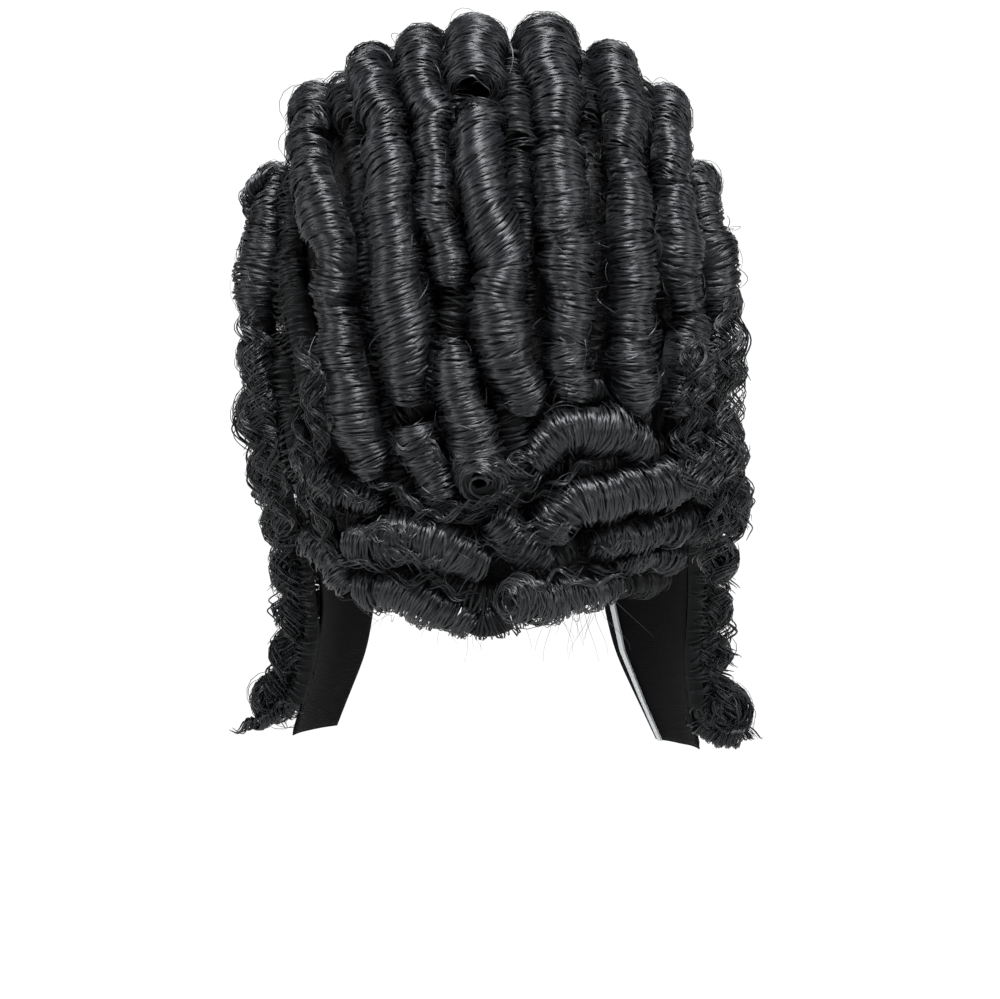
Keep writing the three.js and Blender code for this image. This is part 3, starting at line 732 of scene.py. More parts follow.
def run_on(first, second):
    """A short curl from the end of one curl into the start of the next."""
    points = [first.centre[-3], first.centre[-1], second.centre[0], second.centre[2]]
    outs = [first.out[-3], first.out[-1], second.out[0], second.out[2]]
    radius = RUN_ON_SHARE * min(first.radius[-4], second.radius[3])
    return make_curl(None, (first.lean[1], second.lean[0]), points, [radius] * 4, outs)


def curl_distance(p, curl):
    """How far points lie outside a curl: below 0 inside it, with the ends cut off flat."""
    flat = p.reshape(-1, 3)
    away = flat[:, None] - curl.centre[None]
    nearest = np.argmin((away**2).sum(-1), axis=1)
    reach = away[np.arange(len(flat)), nearest]
    beyond = (reach * curl.along[nearest]).sum(-1)
    aside = np.linalg.norm(reach - curl.along[nearest] * beyond[:, None], axis=1) - curl.radius[nearest]
    past_end = ((nearest == 0) & (beyond < 0)) | ((nearest == len(curl.centre) - 1) & (beyond > 0))
    return np.where(past_end, np.maximum(aside, np.abs(beyond)), aside).reshape(p.shape[:-1])


def clearance(p, curls):
    """How far points lie outside the nearest curl."""
    return np.min([curl_distance(p, curl) for curl in curls], axis=0)


def press(curl, others):
    """Presses a curl against its bed, the cap and its neighbours, so that each takes its share of room."""
    turn = np.arange(DIRECTIONS) / DIRECTIONS * 2 * np.pi
    way = swing(curl.out[:, None], curl.side[:, None], turn)
    full = np.repeat(curl.radius[:, None], DIRECTIONS, axis=1)
    bed = SEAT / np.maximum(-np.cos(turn), BESIDE_BED)
    limit = np.minimum(full, full * bed)
    for _ in range(PRESS_PASSES):
        p = curl.centre[:, None] + way * limit[..., None]
        spare = cap_clearance(p) - GAP
        for other in others:
            spare = np.minimum(spare, curl_distance(p, other) - (limit - full) - GAP)
        limit = np.maximum(limit + PRESS_STEP * np.minimum(spare, 0), LEAST_RADIUS)
    curl.pressed = limit


def make_curls():
    """The curls, the under-curls that fill the hollows between them, and the joins along columns."""
    curls = [curl_behind(*row) for row in CURLS_BEHIND]
    curls += [curl_beside(*row) for row in CURLS_BESIDE]
    for side, name, table, rows in (
        (1, "right", SIDE_CURLS_RIGHT, LAPPET_RIGHT),
        (-1, "left", SIDE_CURLS_LEFT, LAPPET_LEFT),
    ):
        curls += [side_curl(f"side_curl_{name}_{i}", row, rows, side) for i, row in enumerate(table, 1)]
    for curl in curls:
        low, high = curl.centre.min(0) - NEIGHBOUR_REACH, curl.centre.max(0) + NEIGHBOUR_REACH
        near = [c for c in curls if c is not curl and ((c.centre > low) & (c.centre < high)).all(1).any()]
        press(curl, near)
    by_node = {curl.node: curl for curl in curls}
    under = [under_curl(*row) for row in UNDER_CURLS]
    under += [under_curl_beside(side, *row) for row in UNDER_CURLS_BESIDE for side in (1, -1)]
    joins = [run_on(*(by_node[f"crown_curl_{column}_{n}"] for n in (first, first + 1)))
             for column, first in RUN_ON]
    for curl in under + joins:
        press(curl, [])
    return curls, under, joins


# Meshes

class Bundle:
    """Closed tubes gathered into one mesh, with a map that lays each strand in its own column."""

    def __init__(self):
        self.points, self.faces, self.map, self.tone = [], [], [], []
        self.count = 0

    def add(self, rings, tone, closed=False):
        """Tubes of shape (tubes, rings, corners, 3), with flat ends unless each closes on itself."""
        tubes, length, corners, _ = rings.shape
        start = self.count + np.arange(tubes)[:, None, None] * length * corners
        ring = np.arange(length if closed else length - 1)[None, :, None]
        corner = np.arange(corners)[None, None, :]
        after, beside = (ring + 1) % length, (corner + 1) % corners
        quads = np.stack([
            start + ring * corners + corner,
            start + ring * corners + beside,
            start + after * corners + beside,
            start + after * corners + corner,
        ], axis=-1).reshape(-1, 4)
        about = (corner[..., None] + np.array([0, 1, 1, 0])) / corners
        u = (np.arange(tubes)[:, None, None, None] + about) / tubes
        v = (ring[..., None] + np.array([0, 0, 1, 1])) / length
        u, v = np.broadcast_arrays(u, v)
        self.faces.append(quads)
        self.map.append(np.stack([u, v], axis=-1).reshape(-1, 2))
        if not closed:
            for row, order in ((0, slice(None, None, -1)), (length - 1, slice(None))):
                cap = (start[:, 0] + row * corners + np.arange(corners)[None, :])[:, order]
                self.faces.append(cap)
                self.map.append(np.tile([[0.5, row / length]], (cap.size, 1)))
        self.points.append(rings.reshape(-1, 3))
        self.tone.append(np.repeat(np.broadcast_to(tone, tubes), length * corners))
        self.count += rings.size // 3

    def mesh(self, name):
        mesh = bpy.data.meshes.new(name)
        points = np.vstack(self.points) * MM
        corners = np.concatenate([f.ravel() for f in self.faces])
        sizes = np.concatenate([np.full(len(f), f.shape[1]) for f in self.faces])
        mesh.vertices.add(len(points))
        mesh.vertices.foreach_set("co", points.astype(np.float32).ravel())
        mesh.loops.add(len(corners))
        mesh.loops.foreach_set("vertex_index", corners.astype(np.int32))
        mesh.polygons.add(len(sizes))
        starts = np.concatenate([[0], np.cumsum(sizes)[:-1]])
        mesh.polygons.foreach_set("loop_start", starts.astype(np.int32))
        layer = mesh.uv_layers.new(name=BAKE_MAP)
        layer.data.foreach_set("uv", np.vstack(self.map).astype(np.float32).ravel())
        tone = mesh.attributes.new("tone", "FLOAT", "POINT")
        tone.data.foreach_set("value", np.concatenate(self.tone).astype(np.float32))
        mesh.polygons.foreach_set("use_smooth", np.ones(len(sizes), bool))
        mesh.update(calc_edges=True)
        mesh.validate()
        mesh.set_sharp_from_angle(angle=math.radians(CRISP_EDGE))
        return mesh


def strand_rings(path, up, width, height):
    """Three-cornered tubes along paths of shape (strands, points, 3), one corner standing up."""
    tangent = unit(np.gradient(path, axis=1))
    across = unit(np.cross(up, tangent))
    rise = np.cross(tangent, across)
    half = np.broadcast_to(width, path.shape[:2])[..., None] / 2
    tall = np.broadcast_to(height, path.shape[:2])[..., None]
    return np.stack([path + across * half, path - across * half, path + rise * tall], axis=2)


def taper(share, loss, power):
    """The size along a hair, whole in the middle. share runs from -1 to 1."""
    return 1 - loss * np.abs(share) ** power


def wander(rng, at, period):
    """A smooth random value from -1 to 1 along a line."""
    at = np.asarray(at, float) / period
    base = int(np.floor(at.min())) - 1
    knots = rng.uniform(-1, 1, int(np.ceil(at.max())) - base + 3)
    low = np.floor(at).astype(int)
    share = ease(at - low)
    return knots[low - base] * (1 - share) + knots[low - base + 1] * share


def wound_strands(curl, rng, bundle, density=1.0):
    """The hairs wound round a curl, in tufts that share a slant and a height."""
    over = 0.5 * END_REACH
    count = max(LEAST_STRANDS, int((curl.length + 2 * over) * STRANDS_PER_MM * density))
    each = (count, 1)
    disorder = curl.disorder
    middle = (np.arange(count) + rng.uniform(0, 1, count)) / count * (curl.length + 2 * over) - over
    share = np.linspace(-1, 1, STRAND_POINTS)
    half_turn = np.radians(rng.uniform(*WIND_TURN, each))
    turn = np.radians(rng.normal(0, WIND_STRAY, each)) + share * half_turn
    lean = np.interp(middle, [0, curl.length], curl.lean)
    stray = TUFT_LEAN * wander(rng, middle, TUFT_LENGTH) + rng.normal(0, HAIR_LEAN, count)
    lean = (lean + disorder * stray)[:, None]
    sag = (SAG + SAG_STRAY * wander(rng, middle, SAG_LENGTH))[:, None]
    waves = rng.uniform(*WAVER_TURN, each) * share + rng.uniform(0, FULL_TURN, each)
    waver = WAVER * disorder * np.sin(waves)
    place = middle[:, None] + lean * turn / np.pi + sag * (share**2 - 0.3) + waver
    place = np.clip(place, -0.8 * END_REACH, curl.length + 0.8 * END_REACH)
    layer = rng.choice(list(LAYERS), count, p=list(LAYERS.values()))
    groove = sum(depth * wander(rng, middle, length) for depth, length in GROOVES)
    groove = groove - CREASE * np.clip(wander(rng, middle, CREASE_LENGTH) - CREASE_FROM, 0, 1)
    winding = 2 * np.pi * middle[:, None] / rng.uniform(*TWIST_PITCH)
    twist = TWIST * np.sin(turn + winding + rng.uniform(0, FULL_TURN))
    loose = STRAY_LIFT * disorder * rng.normal(0, 1, each)
    loose = loose * np.sin(2.2 * share + rng.uniform(0, FULL_TURN, each))
    tuck = -TUCK * np.clip(np.abs(share) - TUCK_FROM, 0, 1) / (1 - TUCK_FROM)
    lift = (layer + groove)[:, None] + twist + loose - STRAND_SINK
    lift = np.maximum(lift, 0.5 - CORE_DEPTH) + tuck
    path, up = curl.surface(place, turn, lift)
    roll = np.radians(rng.normal(0, STRAND_ROLL, count))[:, None, None]
    tangent = unit(np.gradient(path, axis=1))
    up = up * np.cos(roll) + np.cross(tangent, up) * np.sin(roll)
    size = rng.uniform(*STRAND_SIZE, each) * taper(share, 0.55, 3)
    rings = strand_rings(path, up, STRAND_WIDTH * size, STRAND_HEIGHT * size)
    bundle.add(rings, rng.uniform(*TONES, count))


def end_strands(curl, rng, bundle, count):
    """The hairs that wind into the hollow at a curl's two ends."""
    share = np.linspace(0, 1, END_POINTS)
    each = (count, 1)
    for end, inward, axis in ((0.0, 1, -curl.along[0]), (curl.length, -1, curl.along[-1])):
        start = rng.uniform(0, 2 * np.pi, each)
        turns = rng.uniform(*END_TURNS, count) * rng.choice([-1, 1], count, p=[0.25, 0.75])
        turn = start + share * turns[:, None] * 2 * np.pi
        depth = rng.uniform(*END_DEPTH, each)
        place = end + inward * (depth + rng.uniform(*END_SLIDE, each) * share)
        wind = -STRAND_HEIGHT - rng.gamma(1.2, 1.0, each)
        wind = wind - share**1.5 * rng.uniform(*END_WIND, each)
        ruffle = curl.disorder * np.sin(rng.uniform(*END_WAVES, each) * share + start)
        path, up = curl.surface(place + ruffle, turn, wind + 0.7 * ruffle)
        up = unit(0.6 * up + axis)
        size = rng.uniform(*END_SIZE, each) * taper(2 * share - 1, 0.6, 4)
        rings = strand_rings(path, up, STRAND_WIDTH * size, STRAND_HEIGHT * size)
        bundle.add(rings, rng.uniform(*TONES, count))


def hollow_core(curl, bundle):
    """The dark wound hair under the surface, hollow as the curl is."""
    turn = np.linspace(0, 2 * np.pi, CORE_SIDES, endpoint=False)
    inset = min(CORE_INSET, curl.length / 4)
    place = np.linspace(inset, curl.length - inset, max(3, int(curl.length / CORE_STEP)))
    grid_place, grid_turn = np.meshgrid(place, turn, indexing="ij")
    outer, _ = curl.surface(grid_place, grid_turn, -CORE_DEPTH)
    inner, _ = curl.surface(grid_place, grid_turn, -CORE_DEPTH - CURL_WALL)
    bundle.add(np.concatenate([outer, inner[::-1]])[None, :, ::-1], 0.0, closed=True)


def loose_hairs(curl, rng, bundle):
    """A few hairs that spring off a curl and come back to it."""
    each = (LOOSE_PER_CURL, 1)
    share = np.linspace(0, 1, LOOSE_POINTS)
    start = rng.uniform(0, curl.length, each)
    run = rng.normal(0, LOOSE_SLIDE, each)
    turn = np.radians(rng.uniform(*LOOSE_START, each))
    turn = turn + share * np.radians(rng.uniform(*LOOSE_TURN, each))
    rise = rng.gamma(2.0, 0.8, each) * np.sin(np.pi * share)
    path, up = curl.surface(start + run * share, turn, rise - 0.3)
    size = rng.uniform(*LOOSE_SIZE, each) * taper(2 * share - 1, 0.5, 1)
    bundle.add(strand_rings(path, up, size, size * 0.8), rng.uniform(0.4, 1, LOOSE_PER_CURL))


def coiled_lock(path, coil, turns, hairs, rng, bundle):
    """A loose lock: hairs that coil together about a path."""
    run, _ = smooth_run(path, np.zeros((len(path), 1)))
    share = np.linspace(0, 1, LOCK_POINTS)
    centre = np.stack([np.interp(share, np.linspace(0, 1, len(run)), run[:, k]) for k in range(3)], axis=-1)
    along = unit(np.gradient(centre, axis=0))
    out = unit(np.cross(along, [0.0, 1.0, 0.3]))
    side = np.cross(out, along)
    each = (hairs, 1)
    phase = rng.normal(0, 0.9, each) + share * turns * 2 * np.pi
    swell = 0.35 + 0.65 * np.sin(np.pi * np.clip(share, 0.08, 0.92))
    width = coil * rng.uniform(*LOCK_WIDTH, each) * swell
    slide = rng.normal(0, LOCK_SLIDE, hairs)[:, None, None]
    way = swing(out, side, phase)
    strands = centre + way * width[..., None] + along * slide
    size = rng.uniform(*LOCK_SIZE, each) * taper(2 * share - 1, 0.7, 5)
    bundle.add(strand_rings(strands, way, size, size * 0.7), rng.uniform(0, 1, hairs))


def around(values):
    """The sum over each cell of a grid and its eight neighbours."""
    padded = np.pad(values, 1)
    wide, high = values.shape
    return sum(padded[i : i + wide, k : k + high] for i in range(3) for k in range(3))


class RearFace:
    """How far back the curls reach, over across and height."""

    def __init__(self, curls):
        turn = np.linspace(0, 2 * np.pi, FACE_TURNS, endpoint=False)
        points = []
        for curl in curls:
            place, about = np.meshgrid(np.arange(0, curl.length, FACE_CELL / 2), turn, indexing="ij")
            points.append(curl.surface(place, about)[0].reshape(-1, 3))
            inward, about = np.meshgrid(np.arange(0, curl.radius.max(), FACE_CELL / 2), turn, indexing="ij")
            for end in (0.0, curl.length):
                points.append(curl.surface(np.full(inward.shape, end), about, -inward)[0].reshape(-1, 3))
        points = np.vstack(points)
        flat = points[:, [0, 2]]
        self.low = flat.min(0) - FACE_SPREAD * FACE_CELL
        cell = ((flat - self.low) / FACE_CELL).astype(int)
        depth = np.full(cell.max(0) + FACE_SPREAD, np.inf)
        np.minimum.at(depth, tuple(cell.T), points[:, 1])
        for step in range(FACE_SPREAD):
            known = np.isfinite(depth)
            number = around(known.astype(float))
            mean = around(np.where(known, depth, 0)) / np.maximum(number, 1)
            settled = known if step < FACE_SPREAD - 1 else number == 0
            depth = np.where(settled | (number == 0), depth, mean)
        self.depth = np.where(np.isfinite(depth), depth, 0)

    def at(self, x, z):
        """The rearmost y at places seen from behind."""
        spot = (np.stack([x, z], axis=-1) - self.low) / FACE_CELL - 0.5
        spot = np.clip(spot, 0, np.array(self.depth.shape) - 1.01)
        low = spot.astype(int)
        u, v = np.moveaxis(spot - low, -1, 0)
        i, k = np.moveaxis(low, -1, 0)
        near = self.depth[i, k] * (1 - u) + self.depth[i + 1, k] * u
        far = self.depth[i, k + 1] * (1 - u) + self.depth[i + 1, k + 1] * u
        return near * (1 - v) + far * v


def ringlets(band, curls, face, rng, bundle):
    """Loose ringlets that follow the spine of a band over the curls, and sink in at both ends."""
    locks, hairs = (band["locks"], 1, 1), (band["locks"], band["hairs"], 1)
    spine, _ = smooth_run(band["spine"], np.zeros((len(band["spine"]), 1)))
    place = run_length(spine)
    way = unit(np.gradient(spine, axis=0))
    share = np.linspace(0, 1, RINGLET_POINTS)
    length = band["length"] * rng.uniform(0.6, 1.3, locks)
    start = rng.uniform(0, 1, locks) * (place[-1] - length) + rng.normal(0, 1.5, hairs)
    at = start + length * rng.uniform(0.75, 1, hairs) * share
    coil = band["coil"] * rng.uniform(0.5, 1.3, locks) * rng.uniform(0.8, 1.15, hairs)
    pitch = rng.uniform(*RINGLET_PITCH, locks) * rng.choice([-1, 1], locks)
    phase = rng.uniform(0, 2 * np.pi, locks) + rng.normal(0, 0.3, hairs) + 2 * np.pi * (at - start) / pitch
    aside = band["width"] * (rng.uniform(-1, 1, locks) + rng.normal(0, 0.4, locks) * share)
    aside = aside + rng.normal(0, 0.8, hairs) + coil * np.sin(phase)
    x, z = (np.interp(at, place, spine[:, k]) for k in range(2))
    along_x, along_z = (np.interp(at, place, way[:, k]) for k in range(2))
    x, z = x - along_z * aside, z + along_x * aside
    dip = RINGLET_DIP * np.abs(2 * share - 1) ** 4
    rise = 0.6 * coil * (1 + np.cos(phase)) + rng.normal(0, 0.6, hairs) - dip
    rear = face.at(x, z)
    y = np.minimum(rear, rear.min(axis=(1, 2), keepdims=True) + RINGLET_DEPTH) - rise
    path = np.stack([x, y, z], axis=-1).reshape(-1, RINGLET_POINTS, 3)
    path = path[clearance(path[:, RINGLET_POINTS // 2], curls) < RINGLET_STAND_OFF]
    size = rng.uniform(*RINGLET_SIZE, len(path))[:, None] * taper(2 * share - 1, 0.6, 3)
    bundle.add(strand_rings(path, BACKWARD, size, size * 0.7), rng.uniform(*TONES, len(path)))


def undercoat(curls, rng, bundle):
    """Short hair combed down the cap, kept where no curl hides it."""
    count = UNDERCOAT_HAIRS
    each = (count, 1)
    bearing = rng.uniform(-180, 180, count)
    rim = np.interp(np.abs(bearing), RIM[:, 0], RIM[:, 1])
    z = UNDERCOAT_TOP + (rim + RIM_MARGIN - UNDERCOAT_TOP) * rng.uniform(0, 1, count) ** 1.2
    share = np.linspace(0, 1, UNDERCOAT_POINTS)
    fall = rng.uniform(*UNDERCOAT_FALL, each)
    drift = rng.normal(0, 7, each) * share
    drift = drift + rng.normal(0, 3, each) * np.sin(np.pi * share * 2)
    path = form_point(bearing[:, None] + drift, z[:, None] - fall * share, CAP_WALL + 0.3)
    rise = rng.uniform(*UNDERCOAT_RISE, each) * np.sin(np.pi * share)
    path = path + outward(path) * rise[..., None]
    shown = clearance(path[:, UNDERCOAT_POINTS // 2], curls) > -UNDERCOAT_HIDDEN
    keep = shown & (path[..., 2] > rim[:, None] + 1).all(axis=1)
    path, up = path[keep], outward(path[keep])
    size = rng.uniform(*UNDERCOAT_SIZE, count)[keep][:, None] * taper(2 * share - 1, 0.5, 3)
    # Tones are drawn from the darker end, as painted shade for hair lying in the gaps between the curls.
    bundle.add(strand_rings(path, up, size, size * 0.5), rng.uniform(0, 0.8, count)[keep])


def neck_hairs(rng, bundle):
    """Fine short hairs below the nape."""
    each = (NECK_HAIRS, 1)
    share = np.linspace(0, 1, LOOSE_POINTS)
    x = rng.uniform(*NECK_ACROSS, each)
    x = x + rng.normal(0, 7, each) * share
    x = x + rng.normal(0, 2.5, each) * np.sin(5 * share)
    z = NECK_TOP - rng.uniform(*NECK_LENGTH, each) * share
    y = NECK_DEPTH + 10 * share + rng.normal(0, 3, each)
    path = np.stack(np.broadcast_arrays(x, y, z), axis=-1)
    size = NECK_SIZE * (1 - 0.7 * share)
    bundle.add(strand_rings(path, BACKWARD, size, size), 1.0)


# Cloth

def lappet_sheet(rows, side):
    """A hanging lappet as a closed sheet, and the size of the cloth laid flat."""
    across = np.linspace(0, 1, SHEET_COLUMNS + 1)
    heights = np.linspace(LAPPET_TOP, rows[-1, 0], SHEET_STEPS + 1)
    middle = np.array([[side_bed(rows, a, z) for a in across] for z in heights])
    for _ in range(SHEET_SMOOTHING):
        middle[1:-1] = (middle[:-2] + 2 * middle[1:-1] + middle[2:]) / 4
    out = np.array([[side_outward(rows, a, z) for a in across] for z in heights])
    rng = np.random.default_rng([SEED, CLOTH_SEED + side])
    ripple = wander(rng, across * SHEET_WIDTH, RIPPLE_WIDTH)[None, :]
    ripple = ripple * wander(rng, heights, RIPPLE_LENGTH)[:, None] * RIPPLE
    middle = middle + out * ripple[..., None]
    edge = np.minimum(across, 1 - across)[None, :] * SHEET_WIDTH
    hem = np.minimum(edge, heights[:, None] - heights[-1])
    thick = LAPPET_THICKNESS / 2 * np.sqrt(np.clip(hem / HEM, 0.06, 1))
    thick = np.clip(thick, 0.2, 1.0)[..., None]
    width = np.linalg.norm(np.diff(middle, axis=1), axis=-1).sum(1)
    length = np.linalg.norm(np.diff(middle, axis=0), axis=-1).sum(0).mean()
    mirror = np.array([side, 1, 1])
    outside, inside = (middle + out * thick) * mirror, (middle - out * thick) * mirror
    ring = np.concatenate([outside, inside[:, ::-1]], axis=1)
    ring = ring if side > 0 else ring[:, ::-1]
    flat = (width.mean() * MM, length * MM)
    return ring, flat


# Materials

def set_inputs(tree, node, inputs):
    """Sets a node's inputs by name, and links those that are given a socket."""
    for name, value in inputs.items():
        if isinstance(value, bpy.types.NodeSocket):
            tree.links.new(value, node.inputs[name])
        else:
            node.inputs[name].default_value = value


def add_node(tree, kind, inputs, **settings):
    node = tree.nodes.new("ShaderNode" + kind)
    for name, value in settings.items():
        setattr(node, name, value)
    set_inputs(tree, node, inputs)
    return node


def principled(name):
    material = bpy.data.materials.new(name)
    material.use_nodes = True
    return material, material.node_tree, material.node_tree.nodes["Principled BSDF"]


def coordinates(tree):
    return add_node(tree, "TexCoord", {}).outputs


def add_ramp(tree, source, low, high):
    """Colours a value from low at 0 to high at 1."""
    ramp = add_node(tree, "ValToRGB", {"Fac": source})
    for element, colour in zip(ramp.color_ramp.elements, (low, high)):
        element.color = (*colour, 1)
    return ramp.outputs["Color"]


def add_range(tree, source, low, high, top=1.0):
    """Carries a value from 0 to top over to low to high."""
    inputs = {"Value": source, "From Max": top, "To Min": low, "To Max": high}
    return add_node(tree, "MapRange", inputs).outputs["Result"]


def add_bump(tree, source, strength, depth):
    inputs = {"Height": source, "Strength": strength, "Distance": depth}
    return add_node(tree, "Bump", inputs).outputs["Normal"]


def add_noise(tree, place, scale, detail=2.0):
    inputs = {"Vector": place, "Scale": scale, "Detail": detail}
    return add_node(tree, "TexNoise", inputs).outputs["Fac"]


def add_math(tree, operation, *values):
    return add_node(tree, "Math", dict(enumerate(values)), operation=operation).outputs["Value"]


def add_threads(tree, place, across, along):
    """A weave: two sets of ridges that cross, counted over the whole map."""
    ridges = []
    for direction, count in (("X", across), ("Y", along)):
        inputs = {"Vector": place, "Scale": count / BANDS_PER_SCALE, "Distortion": 0.4}
        ridges.append(add_node(tree, "TexWave", inputs, bands_direction=direction).outputs["Fac"])
    return add_math(tree, "MULTIPLY", *ridges)


def add_fibres(tree):
    """Fine streaks that run along each strand."""
    inputs = {"Vector": coordinates(tree)["UV"], "Scale": (FIBRES_ACROSS, FIBRES_ALONG, 1)}
    return add_noise(tree, add_node(tree, "Mapping", inputs).outputs["Vector"], 1)


def hair_material(name, colours, shine):
    """Black fibre. Each hair has its own tone, between dark and light."""
    material, tree, shader = principled(name)
    tone = add_node(tree, "Attribute", {}, attribute_name="tone").outputs["Fac"]
    tangent = add_node(tree, "Tangent", {}, direction_type="UV_MAP", uv_map=BAKE_MAP)
    fibres = add_fibres(tree)
    rough = add_range(tree, fibres, *HAIR_ROUGHNESS)
    dull = add_range(tree, tone, CORE_DULLNESS, 0.0, CORE_TONE)
    set_inputs(tree, shader, {
        "Base Color": add_ramp(tree, tone, *colours),
        "Roughness": add_math(tree, "ADD", rough, dull),
        "Normal": add_bump(tree, fibres, *HAIR_BUMP),
        "Tangent": tangent.outputs["Tangent"],
        "Anisotropic": HAIR_ANISOTROPY,
        "Specular IOR Level": shine,
        "Specular Tint": COOL_LIGHT_TINT,
    })
    return material


def woven_material(name, threads, colours, roughness, depth):
    """Cloth, its threads counted across and along the map."""
    material, tree, shader = principled(name)
    place = coordinates(tree)
    weave = add_threads(tree, place["UV"], *threads)
    wear = add_noise(tree, place["Object"], WEAR_SCALE, 4)
    set_inputs(tree, shader, {
        "Base Color": add_ramp(tree, wear, *colours),
        "Roughness": add_range(tree, weave, roughness + 0.1, roughness - 0.05),
        "Normal": add_bump(tree, weave, 0.6, depth),
        "Specular IOR Level": WEAVE_SHINE,
    })
    return material


def net_material():
    """A fine open net, drawn as a mesh of cells over black lining."""
    material, tree, shader = principled("cap_net")
    inputs = {"Vector": coordinates(tree)["Object"], "Scale": NET_SCALE}
    cells = add_node(tree, "TexVoronoi", inputs, feature="DISTANCE_TO_EDGE")
    cord = add_range(tree, cells.outputs["Distance"], 1.0, 0.0, NET_CORD)
    set_inputs(tree, shader, {
        "Base Color": add_ramp(tree, cord, *NET_COLOURS),
        "Normal": add_bump(tree, cord, 0.5, 0.0005),
        "Roughness": 0.8,
        "Specular IOR Level": 0.1,
    })
    return material


# The object

def add_object(name, data):
    added = bpy.data.objects.new(name, data)
    bpy.context.scene.collection.objects.link(added)
    return added


def add_piece(mesh, material, node=None):
    """Puts a mesh on the object. node is the plain solid that it stands for."""
    piece = add_object(mesh.name, mesh)
    mesh.materials.append(material)
    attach(piece, "root")
    if node:
        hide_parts(node)
    return piece


def set_material(node, material):
    """Gives a plain solid that stays in view a finished material."""
    for slot in bpy.data.objects[node].material_slots:
        slot.material = material


def build_curls(curls, material):
    wound = [curl for curl in curls if curl.node not in [lock["node"] for lock in LOCKS]]
    for index, curl in enumerate(wound):
        rng = np.random.default_rng([SEED, index])
        bundle = Bundle()
        hollow_core(curl, bundle)
        wound_strands(curl, rng, bundle)
        end_strands(curl, rng, bundle, SIDE_END_STRANDS if curl.node.startswith("side") else END_STRANDS)
        loose_hairs(curl, rng, bundle)
        add_piece(bundle.mesh(curl.node + "_hair"), material, curl.node)


def build_fill(name, curls, density, seed, material):
    """Curls that stand for no solid, gathered into one piece."""
    bundle = Bundle()
    for index, curl in enumerate(curls):
        rng = np.random.default_rng([SEED, seed + index])
        hollow_core(curl, bundle)
        wound_strands(curl, rng, bundle, density)
    add_piece(bundle.mesh(name), material)


def build_loose_hair(curls, material, shade_painted_hair):
    rng = np.random.default_rng([SEED, LOOSE_SEED])
    face = RearFace(curls)
    for band in RINGLETS:
        bundle = Bundle()
        ringlets(band, curls, face, rng, bundle)
        add_piece(bundle.mesh("ringlets_" + band["name"]), material)
    for index, lock in enumerate(LOCKS):
        bundle = Bundle()
        coiled_lock(lock["path"], lock["coil"], lock["turns"], lock["hairs"], rng, bundle)
        add_piece(bundle.mesh(f"loose_lock_{index}"), material, lock["node"])
    bundle = Bundle()
    undercoat(curls, rng, bundle)
    # The undercoat takes the hair material with painted shade.
    add_piece(bundle.mesh("undercoat"), shade_painted_hair)
    bundle = Bundle()
    neck_hairs(rng, bundle)
    add_piece(bundle.mesh("neck_hairs"), material)


def build_cloth():
    cloth = woven_material("lappet_cloth", CLOTH_THREADS, CLOTH_COLOURS, roughness=0.85, depth=0.0003)
    for name, rows, side in (("right", LAPPET_RIGHT, 1), ("left", LAPPET_LEFT, -1)):
        ring, flat = lappet_sheet(rows, side)
        bundle = Bundle()
        bundle.add(ring[None], 0.0)
        node = f"lappet_backing_{name}"
        sheet = add_piece(bundle.mesh(f"lappet_cloth_{name}"), cloth, node)
    tape = woven_material("pale_tape", TAPE_THREADS, TAPE_COLOURS, roughness=0.75, depth=0.0002)
    set_material("lappet_edge_tape_right", tape)
    set_material("cap", net_material())


# The stage

def build_floor():
    turn = np.linspace(0, 2 * np.pi, FLOOR_SIDES, endpoint=False)
    points = np.stack([np.cos(turn), np.sin(turn), np.zeros_like(turn)], axis=-1) * FLOOR_RADIUS
    mesh = bpy.data.meshes.new("floor")
    mesh.from_pydata((points + [0, 0, FLOOR_HEIGHT]).tolist(), [], [list(range(FLOOR_SIDES))])
    floor = add_object("floor", mesh)
    material, tree, shader = principled("pale_floor")
    grain = add_noise(tree, coordinates(tree)["Object"], 40)
    set_inputs(tree, shader, {"Base Color": add_ramp(tree, grain, *FLOOR_COLOURS), "Roughness": 0.9})
    mesh.materials.append(material)


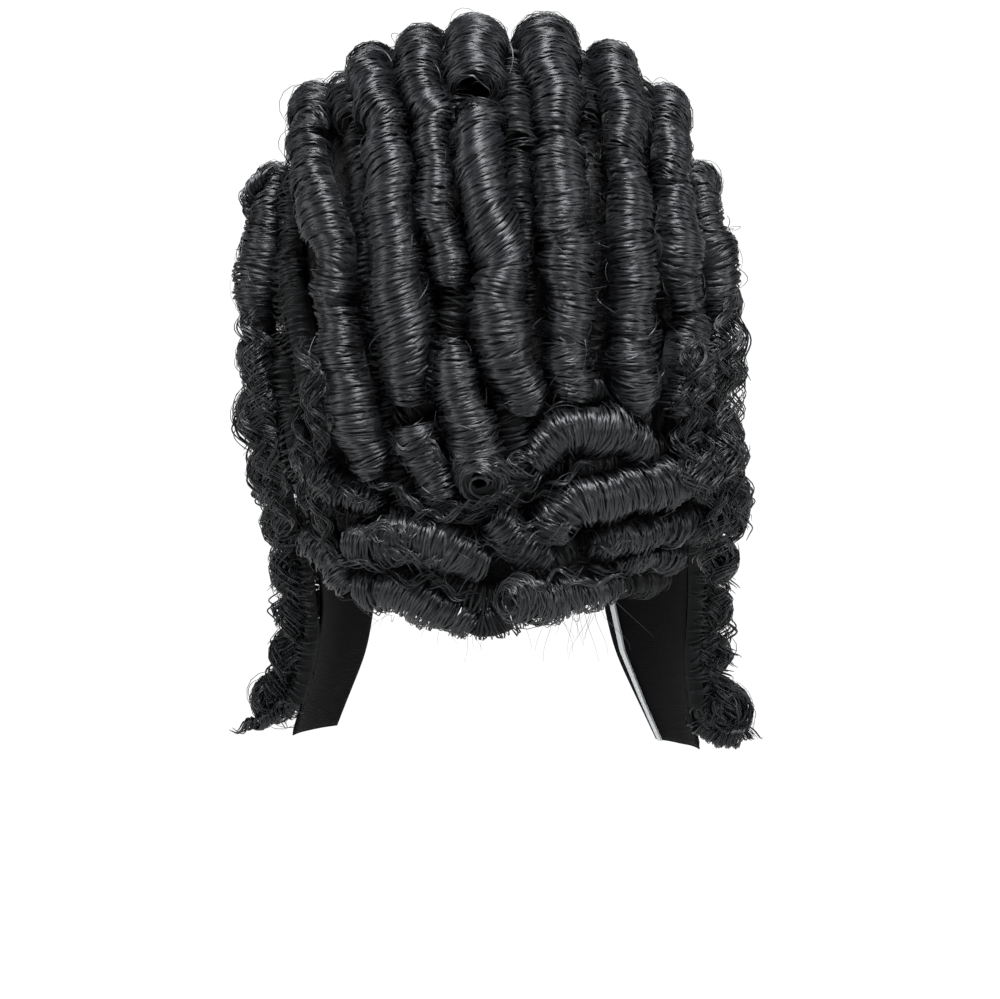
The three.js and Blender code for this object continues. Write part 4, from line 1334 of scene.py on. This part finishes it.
def build_lights():
    for name, place, size, power in LIGHTS:
        data = bpy.data.lights.new(name, "AREA")
        data.energy = power
        data.size = size
        light = add_object(name, data)
        light.location = place
        light.rotation_euler = (LIGHT_TARGET - Vector(place)).to_track_quat("-Z", "Y").to_euler()


def build_world():
    """A white backdrop low behind the object, under a dim grey ceiling."""
    world = bpy.data.worlds.new("studio")
    world.use_nodes = True
    tree = world.node_tree
    way = add_node(tree, "SeparateXYZ", {"Vector": coordinates(tree)["Generated"]}).outputs

    def fade(source, start, end, low, high):
        inputs = {"Value": source, "From Min": start, "From Max": end, "To Min": low, "To Max": high}
        return add_node(tree, "MapRange", inputs, interpolation_type="SMOOTHSTEP").outputs["Result"]

    behind = fade(way["Y"], *BACKDROP_SIDE, ROOM_GREY, BACKDROP_WHITE)
    height = add_math(tree, "ABSOLUTE", way["Z"])
    strength = fade(height, BACKDROP_RISE, 2 * BACKDROP_RISE, behind, CEILING_GREY)
    set_inputs(tree, tree.nodes["Background"], {"Color": (1, 1, 1, 1), "Strength": strength})
    bpy.context.scene.world = world
    bpy.context.scene.view_settings.view_transform = "Standard"


def build_camera():
    data = bpy.data.cameras.new("camera")
    data.sensor_width = SENSOR
    data.lens = SENSOR * CAMERA_DISTANCE / (MM_PER_PIXEL * MM * IMAGE_WIDTH)
    tilt = math.radians(CAMERA_ELEVATION)
    back = Vector((0, -math.cos(tilt), math.sin(tilt)))
    camera = add_object("camera", data)
    camera.location = CAMERA_TARGET + back * CAMERA_DISTANCE
    camera.rotation_euler = (-back).to_track_quat("-Z", "Y").to_euler()
    bpy.context.scene.camera = camera


build_camera()
build_floor()
build_world()
build_lights()
CURLS, UNDER, JOINS = make_curls()
HAIR = hair_material("hair_fibre", HAIR_COLOURS, HAIR_SHINE)
# A copy of the hair with less shine: painted shade for the under-curls and the undercoat.
SHADE_PAINTED_HAIR = hair_material("hair_fibre_deep", SHADE_PAINTED_HAIR_COLOURS, SHADE_PAINTED_HAIR_SHINE)
build_curls(CURLS, HAIR)
build_fill("under_curls", UNDER, UNDER_DENSITY, UNDER_SEED, SHADE_PAINTED_HAIR)
build_fill("run_on_hair", JOINS, 1.0, JOIN_SEED, HAIR)
build_loose_hair(CURLS, HAIR, SHADE_PAINTED_HAIR)
build_cloth()
